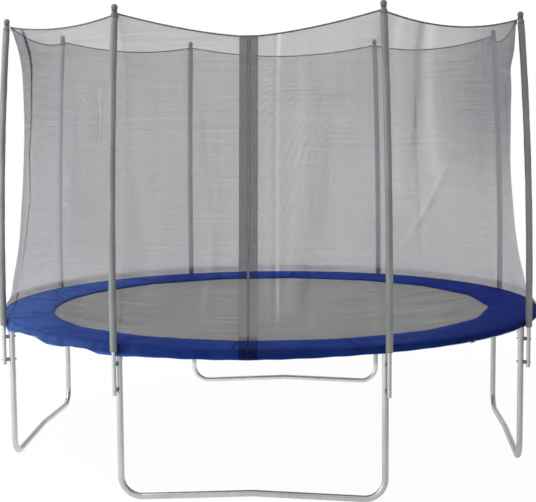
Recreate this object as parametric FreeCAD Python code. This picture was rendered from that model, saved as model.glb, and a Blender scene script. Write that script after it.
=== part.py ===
"""Round garden trampoline with an outside safety net.

Units are millimetres. +Z is up, the floor is Z = 0 and the ring's axis is the Z axis.
The net's door faces -Y. Angles are plan angles, counted anticlockwise from +X.
"""
import FreeCAD, Part

import math
import os

from FreeCAD import Placement, Rotation, Vector

# Driving dimensions of the ring and the legs
TUBE_R = 19.0
TUBE_WALL = 1.5
RING_R = 1811.0
RING_Z = 890.0
LEG_HALF_ANGLE = 25.0
SOCKET_R = 21.2
SOCKET_BORE_R = 19.4
SOCKET_BOTTOM = 820.0
UPRIGHT_BOTTOM = 165.0
UPRIGHT_TOP = 866.0
BASE_BEND_R = 120.0
BASE_RISE_ANGLE = 2.3
BASE_PEAK_BEND_R = 300.0
NECK_R = TUBE_R - 0.5 * TUBE_WALL
SPIGOT_R = TUBE_R - TUBE_WALL - 0.3
SPIGOT_LENGTH = 50.0
RAIL_JOINT_OFFSET = 4.0
LEG_SCREW_Z = 842.0
LEG_SCREW_R = 2.5
LEG_SCREW_HEAD_R = 4.2
LEG_SCREW_FLANGE_R = 6.0

# Driving dimensions of the net poles
POLE_R = 12.5
POLE_WALL = 1.2
POLE_RING_R = 1861.5
POLE_BOTTOM = 624.0
POLE_BEND_START = 1000.0
POLE_BEND_R = 21200.0
POLE_TOP = 2775.0
POLE_JOINT = 1250.0
SLEEVE_R = 21.0
SLEEVE_BORE_R = POLE_R + 0.3
SLEEVE_BOTTOM = 880.0
SPACER_HEIGHTS = (655.0, 805.0)
SPACER_HALF_HEIGHT = 10.0
SPACER_HALF_WIDTH = 11.0
SPACER_FIT = 0.1
BOLT_R = 3.0
BOLT_HOLE_R = 3.2
BOLT_HEAD_R = 7.5
NUT_R = 6.5
CAP_BALL_R = 19.0
CAP_BALL_RISE = 54.0
CAP_NECK_R = 12.5
CAP_NECK_RISE = 38.0
CAP_PLUG_LENGTH = 40.0

# Driving dimensions of the mat and the springs
SPRING_COUNT = 72
SPRING_Z = 895.0
SPRING_OUTER_R = 11.0
SPRING_WIRE_R = 1.6
SPRING_HOLE_R = 3.5
MAT_R = 1625.0
MAT_BOTTOM = 897.3
MAT_THICKNESS = 2.0
LANDING_R = 1478.0
LANDING_SEAM_WIDTH = 2.0
LANDING_SEAM_DEPTH = 0.4
WEBBING_WIDTH = 40.0
RING_WIRE_R = 2.0
RING_BASE_X = MAT_R - 12.0
RING_APEX_X = MAT_R + 32.0
RING_HALF_WIDTH = 26.0

# Driving dimensions of the pad
PAD_BOTTOM = 911.5
PAD_OUTER_R = 1833.5
PAD_INNER_R = 1490.0
PAD_SECTIONS = 16
PAD_FIRST_SEAM = 19.7
PAD_SEAM_R = 2.5
PAD_SEAM_LIFT = 0.7
PAD_REVOLVE_R = PAD_INNER_R - 30.0
PAD_INNER_TOP = 922.0
PAD_CROWN_R = 1650.0
PAD_CROWN_TOP = 936.0
PAD_ROUND_R = 1812.0
PAD_ROUND_TOP = 931.5
SKIRT_R = 1836.0
SKIRT_THICKNESS = 1.4
SKIRT_TOP = 918.0
SKIRT_BOTTOM = 864.0
LOOSE_START = 206.0
LOOSE_END = 244.0
LOOSE_WAVES = 8
LOOSE_DEPTH = 3.0
LOOSE_EXTRA_HANG = 8.0

# Driving dimensions of the net
NET_THICKNESS = 1.2
NET_FOOT_R = 1839.2
NET_FOOT_BOTTOM = 866.0
NET_LEVELS = (866.0, 930.0, 1100.0, 1400.0, 1800.0, 2200.0, 2600.0, 2830.0)
NET_SEAM_GAP = 2.2
NET_FOLD_START = 930.0
NET_FOLD_GROWTH = 1500.0
NET_CORNER_RADII = (
    (866.0, NET_FOOT_R), (930.0, NET_FOOT_R), (1000.0, 1800.0), (1340.0, 1735.0), (2000.0, 1685.0),
    (2600.0, 1700.0), (2850.0, 1773.0),
)
NET_FULLNESS = ((866.0, 1.0), (930.0, 1.0), (1340.0, 0.9), (2000.0, 0.72), (2400.0, 0.45), (2850.0, 0.05))
HEM_CORNER_R = 1757.0
HEM_CORNER_Z = 2795.0
HEM_CORD_R = 4.0
TIE_WIDTH = 18.0
TIE_DIP = 853.2
TIE_ANGLES = (0, 45, 80, 100, 135, 180, 260, 280, 315)
DOOR_HALF_WIDTH = 53.0
DOOR_TOP_Z = 2659.0
DOOR_TOP_R = 1585.0
DOOR_FOOT_Z = 930.0
SLIDER_Z = 1480.0
SLIDER_OFFSET = 1.6
SLIDER_PIN_Y = -6.2
SLIDER_PIN_R = 0.9
PULL_GAP = 0.4
ZIP_TAPE_HALF_WIDTH = 14.0
ZIP_TOP = 2640.0
ZIP_BOTTOM = 872.0

FULL_TURN = 360.0
UP = Vector(0, 0, 1)
ORIGIN = Vector(0, 0, 0)
OUT = "parts"


def polar(radius, angle, height=0.0):
    """Point at a plan radius, a plan angle in degrees and a height."""
    turn = math.radians(angle)
    return Vector(radius * math.cos(turn), radius * math.sin(turn), height)


def turned(shape, angle):
    """Copy of a shape turned about the ring's axis."""
    copy = shape.copy()
    copy.rotate(ORIGIN, UP, angle)
    return copy


def group(shapes):
    """Compound of separate solids."""
    return Part.makeCompound(list(shapes))


def save(name, shape):
    """Write one sub-part."""
    shape.exportStep(os.path.join(OUT, name + ".step"))


def tube(radius, wall, bottom, top, x=0.0, y=0.0):
    """Upright hollow tube."""
    outer = Part.makeCylinder(radius, top - bottom, Vector(x, y, bottom))
    inner = Part.makeCylinder(radius - wall, top - bottom, Vector(x, y, bottom))
    return outer.cut(inner)


def hollow_sweep(path, centre, direction, radius, bore_radius):
    """Tube that follows a path of lines and tangent arcs."""
    outer_circle = Part.Wire(Part.makeCircle(radius, centre, direction))
    bore_circle = Part.Wire(Part.makeCircle(bore_radius, centre, direction))
    outer = path.makePipeShell([outer_circle], True, False)
    bore = path.makePipeShell([bore_circle], True, False)
    return outer.cut(bore)


# Ring of swaged rails with welded leg sockets

LEG_ANGLES = [side + half for side in (0, 90, 180, 270) for half in (-LEG_HALF_ANGLE, LEG_HALF_ANGLE)]


def ring_sector(minor_radius, start, end):
    """Solid piece of the ring's torus between two plan angles."""
    torus = Part.makeTorus(RING_R, minor_radius, Vector(0, 0, RING_Z), UP, -180, 180, end - start)
    return turned(torus, start)


def spring_angles():
    """Plan angles of the springs, clear of the leg sockets."""
    return [FULL_TURN / SPRING_COUNT * (index + 0.5) for index in range(SPRING_COUNT)]


def frame_rail(start, end, socket_angle):
    """Rail with its leg socket, its spring holes and the swaged end that plugs into the next rail."""
    neck_angle = math.degrees(10.0 / RING_R)
    spigot_angle = math.degrees(SPIGOT_LENGTH / RING_R)
    socket_at = polar(RING_R, socket_angle)
    body = ring_sector(TUBE_R, start, end)
    socket_foot = Vector(socket_at.x, socket_at.y, SOCKET_BOTTOM)
    socket = Part.makeCylinder(SOCKET_R, RING_Z - SOCKET_BOTTOM, socket_foot)
    leg_bore = Part.makeCylinder(SOCKET_BORE_R, UPRIGHT_TOP + 1.0 - SOCKET_BOTTOM, socket_foot)
    rail = body.fuse(socket).cut(ring_sector(TUBE_R - TUBE_WALL, start, end)).cut(leg_bore)
    neck = ring_sector(NECK_R, end - neck_angle, end)
    spigot = ring_sector(SPIGOT_R, end - neck_angle, end + spigot_angle)
    spigot_bore = ring_sector(SPIGOT_R - TUBE_WALL, end - neck_angle, end + spigot_angle)
    rail = rail.fuse(neck.fuse(spigot).cut(spigot_bore))
    holes = [spring_hole(angle) for angle in spring_angles() if start - 0.5 < angle % FULL_TURN < end + 0.5]
    holes += [spring_hole(angle) for angle in spring_angles() if start - 0.5 < angle - FULL_TURN < end + 0.5]
    holes.append(leg_screw_hole(socket_angle))
    return rail.cut(group(holes))


def spring_hole(angle):
    """Radial hole for one spring hook, through the ring's inner wall."""
    inner = polar(RING_R - TUBE_R - 3.0, angle, SPRING_Z)
    return Part.makeCylinder(SPRING_HOLE_R, TUBE_R, inner, polar(1.0, angle))


def leg_screw_hole(angle):
    """Hole for the self-tapping screw that holds a leg in its socket, on the ring's inner side."""
    start = polar(RING_R - SOCKET_R - 2.0, angle, LEG_SCREW_Z)
    return Part.makeCylinder(LEG_SCREW_R + 0.1, 10.0, start, polar(1.0, angle))


def leg_screw(angle):
    """Self-tapping screw with a flanged hexagon head."""
    seat = RING_R - SOCKET_R
    inward = polar(-1.0, angle)
    outward = polar(1.0, angle)
    shank = Part.makeCylinder(LEG_SCREW_R, 7.0, polar(seat, angle, LEG_SCREW_Z), outward)
    flange = Part.makeCylinder(LEG_SCREW_FLANGE_R, 1.4, polar(seat, angle, LEG_SCREW_Z), inward)
    head = Part.makeCylinder(LEG_SCREW_HEAD_R, 5.0, polar(seat, angle, LEG_SCREW_Z), inward)
    return shank.fuse(flange).fuse(head)


# Legs

def leg_upright(angle):
    """Straight leg tube from its socket down to the leg base."""
    at = polar(RING_R, angle)
    upright = tube(TUBE_R, TUBE_WALL, UPRIGHT_BOTTOM, UPRIGHT_TOP, at.x, at.y)
    holes = [leg_screw_hole(angle)]
    for height in SPACER_HEIGHTS:
        inner_side = polar(RING_R - 1.5 * TUBE_R, angle, height)
        holes.append(Part.makeCylinder(BOLT_HOLE_R, 3 * TUBE_R, inner_side, polar(1.0, angle)))
    return upright.cut(group(holes))


def leg_base():
    """Bent tube of the front leg, raised to a low peak in the middle, with a swaged spigot at each end."""
    half_span = RING_R * math.sin(math.radians(LEG_HALF_ANGLE))
    plane_y = -RING_R * math.cos(math.radians(LEG_HALF_ANGLE))
    rise = math.radians(BASE_RISE_ANGLE)
    bend_z = TUBE_R + BASE_BEND_R
    bend_x = half_span - BASE_BEND_R

    def on_bend(turn):
        return Vector(bend_x + BASE_BEND_R * math.cos(turn), plane_y, bend_z + BASE_BEND_R * math.sin(turn))

    bend_end = on_bend(-0.5 * math.pi - rise)
    peak_z = bend_end.z + bend_end.x * math.tan(rise)
    peak_reach = BASE_PEAK_BEND_R * math.tan(rise)
    peak_side = Vector(peak_reach * math.cos(rise), plane_y, peak_z - peak_reach * math.sin(rise))
    peak_top_z = peak_side.z + BASE_PEAK_BEND_R * (1.0 - math.cos(rise))
    right = [
        Part.LineSegment(Vector(half_span, plane_y, UPRIGHT_BOTTOM), on_bend(0.0)).toShape(),
        Part.Arc(on_bend(0.0), on_bend(-0.25 * math.pi), bend_end).toShape(),
        Part.LineSegment(bend_end, peak_side).toShape(),
    ]
    peak = Part.Arc(peak_side, Vector(0, plane_y, peak_top_z), mirrored_x(peak_side)).toShape()
    bend_middle = mirrored_x(on_bend(-0.25 * math.pi))
    bend_top = mirrored_x(on_bend(0.0))
    left = [
        Part.LineSegment(mirrored_x(peak_side), mirrored_x(bend_end)).toShape(),
        Part.Arc(mirrored_x(bend_end), bend_middle, bend_top).toShape(),
        Part.LineSegment(bend_top, Vector(-half_span, plane_y, UPRIGHT_BOTTOM)).toShape(),
    ]
    path = Part.Wire(right + [peak] + left)
    base_end = Vector(half_span, plane_y, UPRIGHT_BOTTOM)
    base = hollow_sweep(path, base_end, UP, TUBE_R, TUBE_R - TUBE_WALL)
    for x in (half_span, -half_span):
        foot = Vector(x, plane_y, UPRIGHT_BOTTOM - 10.0)
        neck = Part.makeCylinder(NECK_R, 10.0, foot)
        spigot = Part.makeCylinder(SPIGOT_R, SPIGOT_LENGTH + 10.0, foot)
        bore = Part.makeCylinder(SPIGOT_R - TUBE_WALL, SPIGOT_LENGTH + 10.0, foot)
        base = base.fuse(neck.fuse(spigot).cut(bore))
    return base


def mirrored_x(point):
    """Point mirrored in the YZ plane."""
    return Vector(-point.x, point.y, point.z)


# Net poles: bare lower tubes, bowed upper tubes, foam sleeves and ball caps

def pole_offset(height):
    """How far a pole has bowed inward at a height."""
    rise = max(0.0, height - POLE_BEND_START)
    return POLE_BEND_R - math.sqrt(POLE_BEND_R**2 - rise**2)


def pole_point(height):
    """Point on a pole's centre line, in the XZ plane."""
    return Vector(POLE_RING_R - pole_offset(height), 0, height)


def pole_direction(height):
    """Upward direction of a pole's centre line, in the XZ plane."""
    lean = math.asin(max(0.0, height - POLE_BEND_START) / POLE_BEND_R)
    return Vector(-math.sin(lean), 0, math.cos(lean))


def pole_path(bottom, top):
    """Centre line of a pole between two heights: upright, then one long arc."""
    edges = []
    bend_from = max(bottom, POLE_BEND_START)
    if bottom < POLE_BEND_START:
        edges.append(Part.LineSegment(pole_point(bottom), pole_point(bend_from)).toShape())
    if top > bend_from:
        middle = pole_point(0.5 * (bend_from + top))
        edges.append(Part.Arc(pole_point(bend_from), middle, pole_point(top)).toShape())
    return Part.Wire(edges)


def pole_piece(bottom, top, radius, bore_radius):
    """Hollow piece of a pole in the XZ plane."""
    path = pole_path(bottom, top)
    return hollow_sweep(path, pole_point(bottom), pole_direction(bottom), radius, bore_radius)


def pole_lower():
    """Lower tube with its two bolt holes, swaged at the top to plug into the upper tube."""
    spigot_bore_r = POLE_R - 2.6 * POLE_WALL
    body = pole_piece(POLE_BOTTOM, POLE_JOINT, POLE_R, POLE_R - POLE_WALL)
    spigot = pole_piece(POLE_JOINT - 10.0, POLE_JOINT + 40.0, POLE_R - POLE_WALL - 0.3, spigot_bore_r)
    neck = pole_piece(POLE_JOINT - 10.0, POLE_JOINT, POLE_R - 0.5 * POLE_WALL, spigot_bore_r)
    inner_x = POLE_RING_R - 2 * POLE_R
    outward = Vector(1, 0, 0)
    holes = []
    for height in SPACER_HEIGHTS:
        holes.append(Part.makeCylinder(BOLT_HOLE_R, 4 * POLE_R, Vector(inner_x, 0, height), outward))
    return body.fuse(neck).fuse(spigot).cut(group(holes))


def at_pole_tip(shape):
    """Shape that stands on the origin, moved to a pole's tip and leaned with it."""
    lean = math.degrees(math.asin((POLE_TOP - POLE_BEND_START) / POLE_BEND_R))
    placed = shape.copy()
    placed.Placement = Placement(pole_point(POLE_TOP), Rotation(Vector(0, 1, 0), -lean))
    return placed


def pole_cap():
    """Ball finial with a neck for the net's loop, a skirt over the sleeve and a plug in the tube."""
    neck_z = CAP_BALL_RISE - math.sqrt(CAP_BALL_R**2 - CAP_NECK_R**2)
    plug_r = POLE_R - POLE_WALL - 0.2
    ball_top = Vector(0, 0, CAP_BALL_RISE + CAP_BALL_R)
    profile = Part.Wire([
        Part.LineSegment(Vector(0, 0, -CAP_PLUG_LENGTH), Vector(plug_r, 0, -CAP_PLUG_LENGTH)).toShape(),
        Part.LineSegment(Vector(plug_r, 0, -CAP_PLUG_LENGTH), Vector(plug_r, 0, 0.3)).toShape(),
        Part.LineSegment(Vector(plug_r, 0, 0.3), Vector(SLEEVE_R, 0, 0.3)).toShape(),
        Part.LineSegment(Vector(SLEEVE_R, 0, 0.3), Vector(SLEEVE_R - 0.5, 0, 10.0)).toShape(),
        Part.LineSegment(Vector(SLEEVE_R - 0.5, 0, 10.0), Vector(CAP_NECK_R, 0, CAP_NECK_RISE)).toShape(),
        Part.LineSegment(Vector(CAP_NECK_R, 0, CAP_NECK_RISE), Vector(CAP_NECK_R, 0, neck_z)).toShape(),
        Part.Arc(Vector(CAP_NECK_R, 0, neck_z), Vector(CAP_BALL_R, 0, CAP_BALL_RISE), ball_top).toShape(),
        Part.LineSegment(ball_top, Vector(0, 0, -CAP_PLUG_LENGTH)).toShape(),
    ])
    return at_pole_tip(Part.Face(profile).revolve(ORIGIN, UP, FULL_TURN))


def pole_spacer(height):
    """Moulded spacer with a saddle for the leg on one side and for the pole on the other."""
    length = POLE_RING_R - RING_R
    block = Part.makeBox(
        length, 2 * SPACER_HALF_WIDTH, 2 * SPACER_HALF_HEIGHT,
        Vector(RING_R, -SPACER_HALF_WIDTH, height - SPACER_HALF_HEIGHT),
    )
    reach = 4 * SPACER_HALF_HEIGHT
    low = height - 2 * SPACER_HALF_HEIGHT
    leg = Part.makeCylinder(TUBE_R + SPACER_FIT, reach, Vector(RING_R, 0, low))
    pole = Part.makeCylinder(POLE_R + SPACER_FIT, reach, Vector(POLE_RING_R, 0, low))
    hole = Part.makeCylinder(BOLT_HOLE_R, length, Vector(RING_R, 0, height), Vector(1, 0, 0))
    return block.cut(group([leg, pole, hole]))


def pole_bolt(height):
    """Cup-headed bolt through pole, spacer and leg."""
    head_x = POLE_RING_R + POLE_R
    nut_x = RING_R - TUBE_R
    outward = Vector(1, 0, 0)
    shank = Part.makeCylinder(BOLT_R, head_x + 1.0 - nut_x + 9.0, Vector(nut_x - 9.0, 0, height), outward)
    head = Part.makeSphere(BOLT_HEAD_R, Vector(head_x - 3.0, 0, height), outward, 25.0, 90.0, FULL_TURN)
    washer = Part.makeCylinder(BOLT_HEAD_R - 0.7, 1.5, Vector(head_x + 0.1, 0, height), outward)
    return shank.fuse(washer).fuse(head)


def pole_nut(height):
    """Hexagon nut on the bolt, on the leg's inner side."""
    face_x = RING_R - TUBE_R - 0.1
    turns = [math.radians(60 * k) for k in range(7)]
    corners = [Vector(face_x, NUT_R * math.cos(turn), height + NUT_R * math.sin(turn)) for turn in turns]
    hexagon = Part.Face(Part.makePolygon(corners)).extrude(Vector(-5.5, 0, 0))
    bore = Part.makeCylinder(BOLT_R + 0.05, 8.0, Vector(face_x + 1.0, 0, height), Vector(-1, 0, 0))
    return hexagon.cut(bore)


# Mat, its edge webbing, the wire rings and the springs

def mat():
    """Jumping mat with the sewn ring that marks off its landing area, inside the pad."""
    seam_bottom = Vector(0, 0, MAT_BOTTOM + MAT_THICKNESS - LANDING_SEAM_DEPTH)
    outer = Part.makeCylinder(LANDING_R + LANDING_SEAM_WIDTH, MAT_THICKNESS, seam_bottom)
    inner = Part.makeCylinder(LANDING_R, MAT_THICKNESS, seam_bottom)
    return Part.makeCylinder(MAT_R, MAT_THICKNESS, Vector(0, 0, MAT_BOTTOM)).cut(outer.cut(inner))


def revolved(points):
    """Solid of revolution of a closed outline given as (radius, height) points."""
    outline = [Vector(radius, 0, height) for radius, height in points]
    return Part.Face(Part.makePolygon(outline + outline[:1])).revolve(ORIGIN, UP, FULL_TURN)


def mat_webbing():
    """Webbing folded round the mat's edge, which holds the wire rings against its underside."""
    inner = MAT_R - WEBBING_WIDTH
    lower_inner = inner + 15.0
    rim = MAT_R + 3.0
    mat_top = MAT_BOTTOM + MAT_THICKNESS
    fold = 2.0
    pocket_bottom = SPRING_Z - RING_WIRE_R - 0.3
    return revolved([
        (inner, mat_top), (rim - fold, mat_top), (rim - fold, pocket_bottom), (lower_inner, pocket_bottom),
        (lower_inner, pocket_bottom - fold), (rim, pocket_bottom - fold), (rim, mat_top + fold),
        (inner, mat_top + fold),
    ])


def mat_ring():
    """Triangular wire ring for one spring, its base held under the mat's edge."""
    corners = [
        Vector(RING_BASE_X, -RING_HALF_WIDTH, SPRING_Z),
        Vector(RING_BASE_X, RING_HALF_WIDTH, SPRING_Z),
        Vector(RING_APEX_X, 0, SPRING_Z),
    ]
    sides = []
    for start, end in zip(corners, corners[1:] + corners[:1]):
        sides.append(Part.makeCylinder(RING_WIRE_R, start.distanceToPoint(end), start, end - start))
        sides.append(Part.makeSphere(RING_WIRE_R, start))
    return sides[0].fuse(sides[1:])


def spring():
    """Extension spring as its outer shape: hooks, tapered ends and the coil's envelope."""
    coil_start = RING_APEX_X + 18.0
    coil_end = RING_R - TUBE_R - 14.0
    reach = RING_WIRE_R + 0.5 + SPRING_WIRE_R
    hook_out = RING_R - TUBE_R + 5.0
    taper = 10.0
    wire = SPRING_WIRE_R
    outward = Vector(1, 0, 0)
    body = Part.makeCylinder(SPRING_OUTER_R, coil_end - coil_start, Vector(coil_start, 0, SPRING_Z), outward)
    taper_start = Vector(coil_start - taper, 0, SPRING_Z)
    inner_taper = Part.makeCone(wire, SPRING_OUTER_R, taper, taper_start, outward)
    outer_taper = Part.makeCone(SPRING_OUTER_R, wire, taper, Vector(coil_end, 0, SPRING_Z), outward)
    outer_rod = Part.makeCylinder(wire, hook_out - coil_end, Vector(coil_end, 0, SPRING_Z), outward)
    rod_start = RING_APEX_X + reach
    inner_rod = Part.makeCylinder(wire, coil_start - rod_start, Vector(rod_start, 0, SPRING_Z), outward)
    eye = spring_eye(RING_APEX_X - 2.0 * reach, RING_APEX_X + reach)
    return body.fuse([inner_taper, outer_taper, outer_rod, inner_rod, eye])


def spring_eye(inner_x, outer_x):
    """Open hook that passes over the wire ring's apex and down inside it."""
    wire = SPRING_WIRE_R
    radius = 0.5 * (outer_x - inner_x)
    middle = inner_x + radius
    path = Part.Wire([
        Part.Arc(
            Vector(outer_x, 0, SPRING_Z), Vector(middle, 0, SPRING_Z + radius), Vector(inner_x, 0, SPRING_Z)
        ).toShape(),
    ])
    circle = Part.Wire(Part.makeCircle(wire, Vector(outer_x, 0, SPRING_Z), UP))
    hook = path.makePipeShell([circle], True, False)
    return hook.fuse(Part.makeSphere(wire, Vector(outer_x, 0, SPRING_Z)))


# Spring pad and skirt

def pad_crown_arc(lift=0.0):
    """Crowned top of the pad in the XZ plane, or a line that floats above it."""
    inner = Vector(PAD_REVOLVE_R, 0, PAD_INNER_TOP + lift)
    crown = Vector(PAD_CROWN_R, 0, PAD_CROWN_TOP + lift)
    outer = Vector(PAD_ROUND_R, 0, PAD_ROUND_TOP + lift)
    return Part.Arc(inner, crown, outer).toShape()


def safety_pad():
    """Foam pad ring: crowned top, rounded outer edge, sixteen-sided inner edge and sewn seams."""
    inner_bottom = Vector(PAD_REVOLVE_R, 0, PAD_BOTTOM)
    outer_bottom = Vector(PAD_OUTER_R, 0, PAD_BOTTOM)
    outer_top = Vector(PAD_OUTER_R, 0, PAD_BOTTOM + 4.0)
    round_start = Vector(PAD_ROUND_R, 0, PAD_ROUND_TOP)
    outline = Part.Wire([
        Part.LineSegment(inner_bottom, Vector(PAD_REVOLVE_R, 0, PAD_INNER_TOP)).toShape(),
        pad_crown_arc(),
        Part.Arc(round_start, Vector(PAD_OUTER_R - 5.5, 0, PAD_ROUND_TOP - 6.0), outer_top).toShape(),
        Part.LineSegment(outer_top, outer_bottom).toShape(),
        Part.LineSegment(outer_bottom, inner_bottom).toShape(),
    ])
    ring = Part.Face(outline).revolve(ORIGIN, UP, FULL_TURN)
    step = FULL_TURN / PAD_SECTIONS
    corner_r = PAD_INNER_R / math.cos(math.radians(0.5 * step))
    corners = [polar(corner_r, PAD_FIRST_SEAM + step * k, PAD_BOTTOM - 5.0) for k in range(PAD_SECTIONS + 1)]
    opening = Part.Face(Part.makePolygon(corners)).extrude(Vector(0, 0, 60.0))
    seam_line = pad_crown_arc(PAD_SEAM_LIFT)
    seam_start = seam_line.firstVertex().Point
    seam_direction = seam_line.tangentAt(seam_line.FirstParameter)
    circle = Part.Wire(Part.makeCircle(PAD_SEAM_R, seam_start, seam_direction))
    seam = Part.Wire([seam_line]).makePipeShell([circle], True, False)
    pad = ring.cut(opening)
    for k in range(PAD_SECTIONS):
        pad = pad.cut(turned(seam, PAD_FIRST_SEAM + step * k))
    return pad


def wavy_wire(angles, radii, thickness, height):
    """Closed outline of a thin wavy wall: a chain of arcs outside, the same chain inside."""
    outer = [polar(radius, angle, height) for angle, radius in zip(angles, radii)]
    inner = [polar(radius - thickness, angle, height) for angle, radius in zip(angles, radii)]
    inner.reverse()
    edges = arc_chain(outer)
    edges.append(Part.LineSegment(outer[-1], inner[0]).toShape())
    edges += arc_chain(inner)
    edges.append(Part.LineSegment(inner[-1], outer[0]).toShape())
    return Part.Wire(edges)


def arc_chain(points):
    """Arcs that each run through three neighbouring points."""
    return [Part.Arc(*points[k:k + 3]).toShape() for k in range(0, len(points) - 2, 2)]


def pad_skirt():
    """Skirt that hangs from the pad's outer edge, loose and wavy between the two front left poles."""
    foot = Vector(0, 0, SKIRT_BOTTOM)
    outer = Part.makeCylinder(SKIRT_R, SKIRT_TOP - SKIRT_BOTTOM, foot)
    inner = Part.makeCylinder(SKIRT_R - SKIRT_THICKNESS, SKIRT_TOP - SKIRT_BOTTOM, foot)
    pad_side = Part.makeCylinder(PAD_OUTER_R, SKIRT_TOP - PAD_BOTTOM, Vector(0, 0, PAD_BOTTOM))
    flange = Part.makeCylinder(SKIRT_R, SKIRT_TOP - PAD_BOTTOM, Vector(0, 0, PAD_BOTTOM)).cut(pad_side)
    band = outer.cut(inner).cut(skirt_gap()).fuse(flange)
    steps = 2 * LOOSE_WAVES
    angles = [LOOSE_START + (LOOSE_END - LOOSE_START) * k / steps for k in range(steps + 1)]
    straight = [SKIRT_R for _ in angles]
    waved = [SKIRT_R - (LOOSE_DEPTH if k % 4 == 1 else 0.0) for k in range(steps + 1)]
    sections = [
        wavy_wire(angles, waved, SKIRT_THICKNESS, SKIRT_BOTTOM - LOOSE_EXTRA_HANG),
        wavy_wire(angles, straight, SKIRT_THICKNESS, SKIRT_TOP - 3.0),
    ]
    loose = Part.makeLoft(sections, True, True)
    return band.fuse(loose)


def skirt_gap():
    """Wedge that clears the skirt where it hangs loose."""
    spread = LOOSE_END - LOOSE_START
    foot = Vector(0, 0, SKIRT_BOTTOM)
    wedge = Part.makeCylinder(SKIRT_R + 10.0, PAD_BOTTOM - SKIRT_BOTTOM, foot, UP, spread)
    return turned(wedge, LOOSE_START)


# Net: sewn panels, hem cord, pole loops, door strip, zip slider and pull

def net_corner_radius(height):
    """Plan radius of the net at the pole lines, drawn in at the waist."""
    return interpolate(height, NET_CORNER_RADII)


def net_fullness(height):
    """Share of the round bulge that a panel keeps between the pole lines."""
    return interpolate(height, NET_FULLNESS)


def interpolate(value, table):
    """Straight-line value between the rows of a table."""
    for (x0, y0), (x1, y1) in zip(table, table[1:]):
        if value <= x1:
            return y0 + (y1 - y0) * (value - x0) / (x1 - x0)
    return table[-1][1]


def door_radius(height):
    """Plan radius of the door strip, pulled straight from the hem to the pad's edge."""
    if height <= DOOR_FOOT_Z:
        return NET_FOOT_R
    return NET_FOOT_R + (DOOR_TOP_R - NET_FOOT_R) * (height - DOOR_FOOT_Z) / (DOOR_TOP_Z - DOOR_FOOT_Z)


def panel_point(start, end, share, height, fold):
    """Point of a panel between two pole lines: chord, round bulge and folds near the top."""
    corner_r = net_corner_radius(height)
    chord = corner_r * math.cos(math.radians(0.5 * (end - start)))
    half = 0.5 * (end - start)
    across = corner_r * math.sin(math.radians(half)) * (2.0 * share - 1.0)
    bulge = (math.sqrt(corner_r**2 - across**2) - chord) * net_fullness(height)
    fading = min(1.0, max(0.0, (height - NET_FOLD_START) / NET_FOLD_GROWTH))
    wave = fold * fading * math.sin(4.0 * math.pi * share) * 2.0 * math.sqrt(share * (1.0 - share))
    middle = 0.5 * (start + end)
    outward = polar(chord + bulge + wave, middle)
    sideways = polar(across, middle + 90.0)
    return Vector(outward.x + sideways.x, outward.y + sideways.y, height)


def thin_wire(outer, middle_angle):
    """Closed thin outline: a chain of arcs and the same chain set inward by the net's thickness."""
    shift = polar(-NET_THICKNESS, middle_angle)
    inner = [point + shift for point in outer]
    inner.reverse()
    edges = arc_chain(outer)
    edges.append(Part.LineSegment(outer[-1], inner[0]).toShape())
    edges += arc_chain(inner)
    edges.append(Part.LineSegment(inner[-1], outer[0]).toShape())
    return Part.Wire(edges)


def net_panel(start, end, hem_z, fold):
    """Panel between two pole lines, its top cut to the hem's sag."""
    steps = 8
    trim = NET_SEAM_GAP / RING_R * 0.5
    shares = [trim + (1.0 - 2.0 * trim) * k / steps for k in range(steps + 1)]
    middle = 0.5 * (start + end)
    sections = []
    for height in NET_LEVELS:
        points = [panel_point(start, end, share, height, fold) for share in shares]
        sections.append(thin_wire(points, middle))
    return Part.makeLoft(sections, True, True).cut(hem_cutter(start, end, hem_z))


def hem_points(start, end, hem_z):
    """Two ends and the lowest point of a hem swag."""
    half = math.radians(0.5 * (end - start))
    middle = 0.5 * (start + end)
    low = polar(HEM_CORNER_R * math.cos(half), middle, hem_z)
    return polar(HEM_CORNER_R, start, HEM_CORNER_Z), low, polar(HEM_CORNER_R, end, HEM_CORNER_Z)


def hem_cutter(start, end, hem_z):
    """Everything above a hem swag, from inside the panel to outside it."""
    first, low, last = hem_points(start, end, hem_z)
    inward = polar(-300.0, 0.5 * (start + end))
    stretch = last - first
    stretch.normalize()
    outside = inward * -0.5
    left = first - stretch * 60.0 + outside
    right = last + stretch * 60.0 + outside
    low_edge = Part.Arc(first + outside, low + outside, last + outside).toShape()
    lift = Vector(0, 0, 400.0)
    wire = Part.Wire([
        low_edge,
        Part.LineSegment(last + outside, right).toShape(),
        Part.LineSegment(right, right + lift).toShape(),
        Part.LineSegment(right + lift, left + lift).toShape(),
        Part.LineSegment(left + lift, left).toShape(),
        Part.LineSegment(left, first + outside).toShape(),
    ])
    return Part.Face(wire).extrude(inward)


def front_half(left_side):
    """Half of the front panel, from a front pole line to the door strip."""
    steps = 4
    side = -1.0 if left_side else 1.0
    sections = []
    for height in NET_LEVELS:
        corner = polar(net_corner_radius(height), 270.0 + side * LEG_HALF_ANGLE, height)
        door = Vector(side * (DOOR_HALF_WIDTH + 0.5), -door_radius(height), height)
        span = corner - door
        corner_r = net_corner_radius(height)
        free = 0.25 * (corner_r - corner_r * math.cos(math.radians(LEG_HALF_ANGLE))) * net_fullness(height)
        points = []
        for k in range(steps + 1):
            share = k / steps * (1.0 - NET_SEAM_GAP / RING_R)
            sag = free * 4.0 * share * (1.0 - share)
            points.append(door + span * share + Vector(0, -sag, 0))
        sections.append(thin_wire(points, 270.0))
    start, end = 270.0 - LEG_HALF_ANGLE, 270.0 + LEG_HALF_ANGLE
    return Part.makeLoft(sections, True, True).cut(hem_cutter(start, end, DOOR_TOP_Z))


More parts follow.
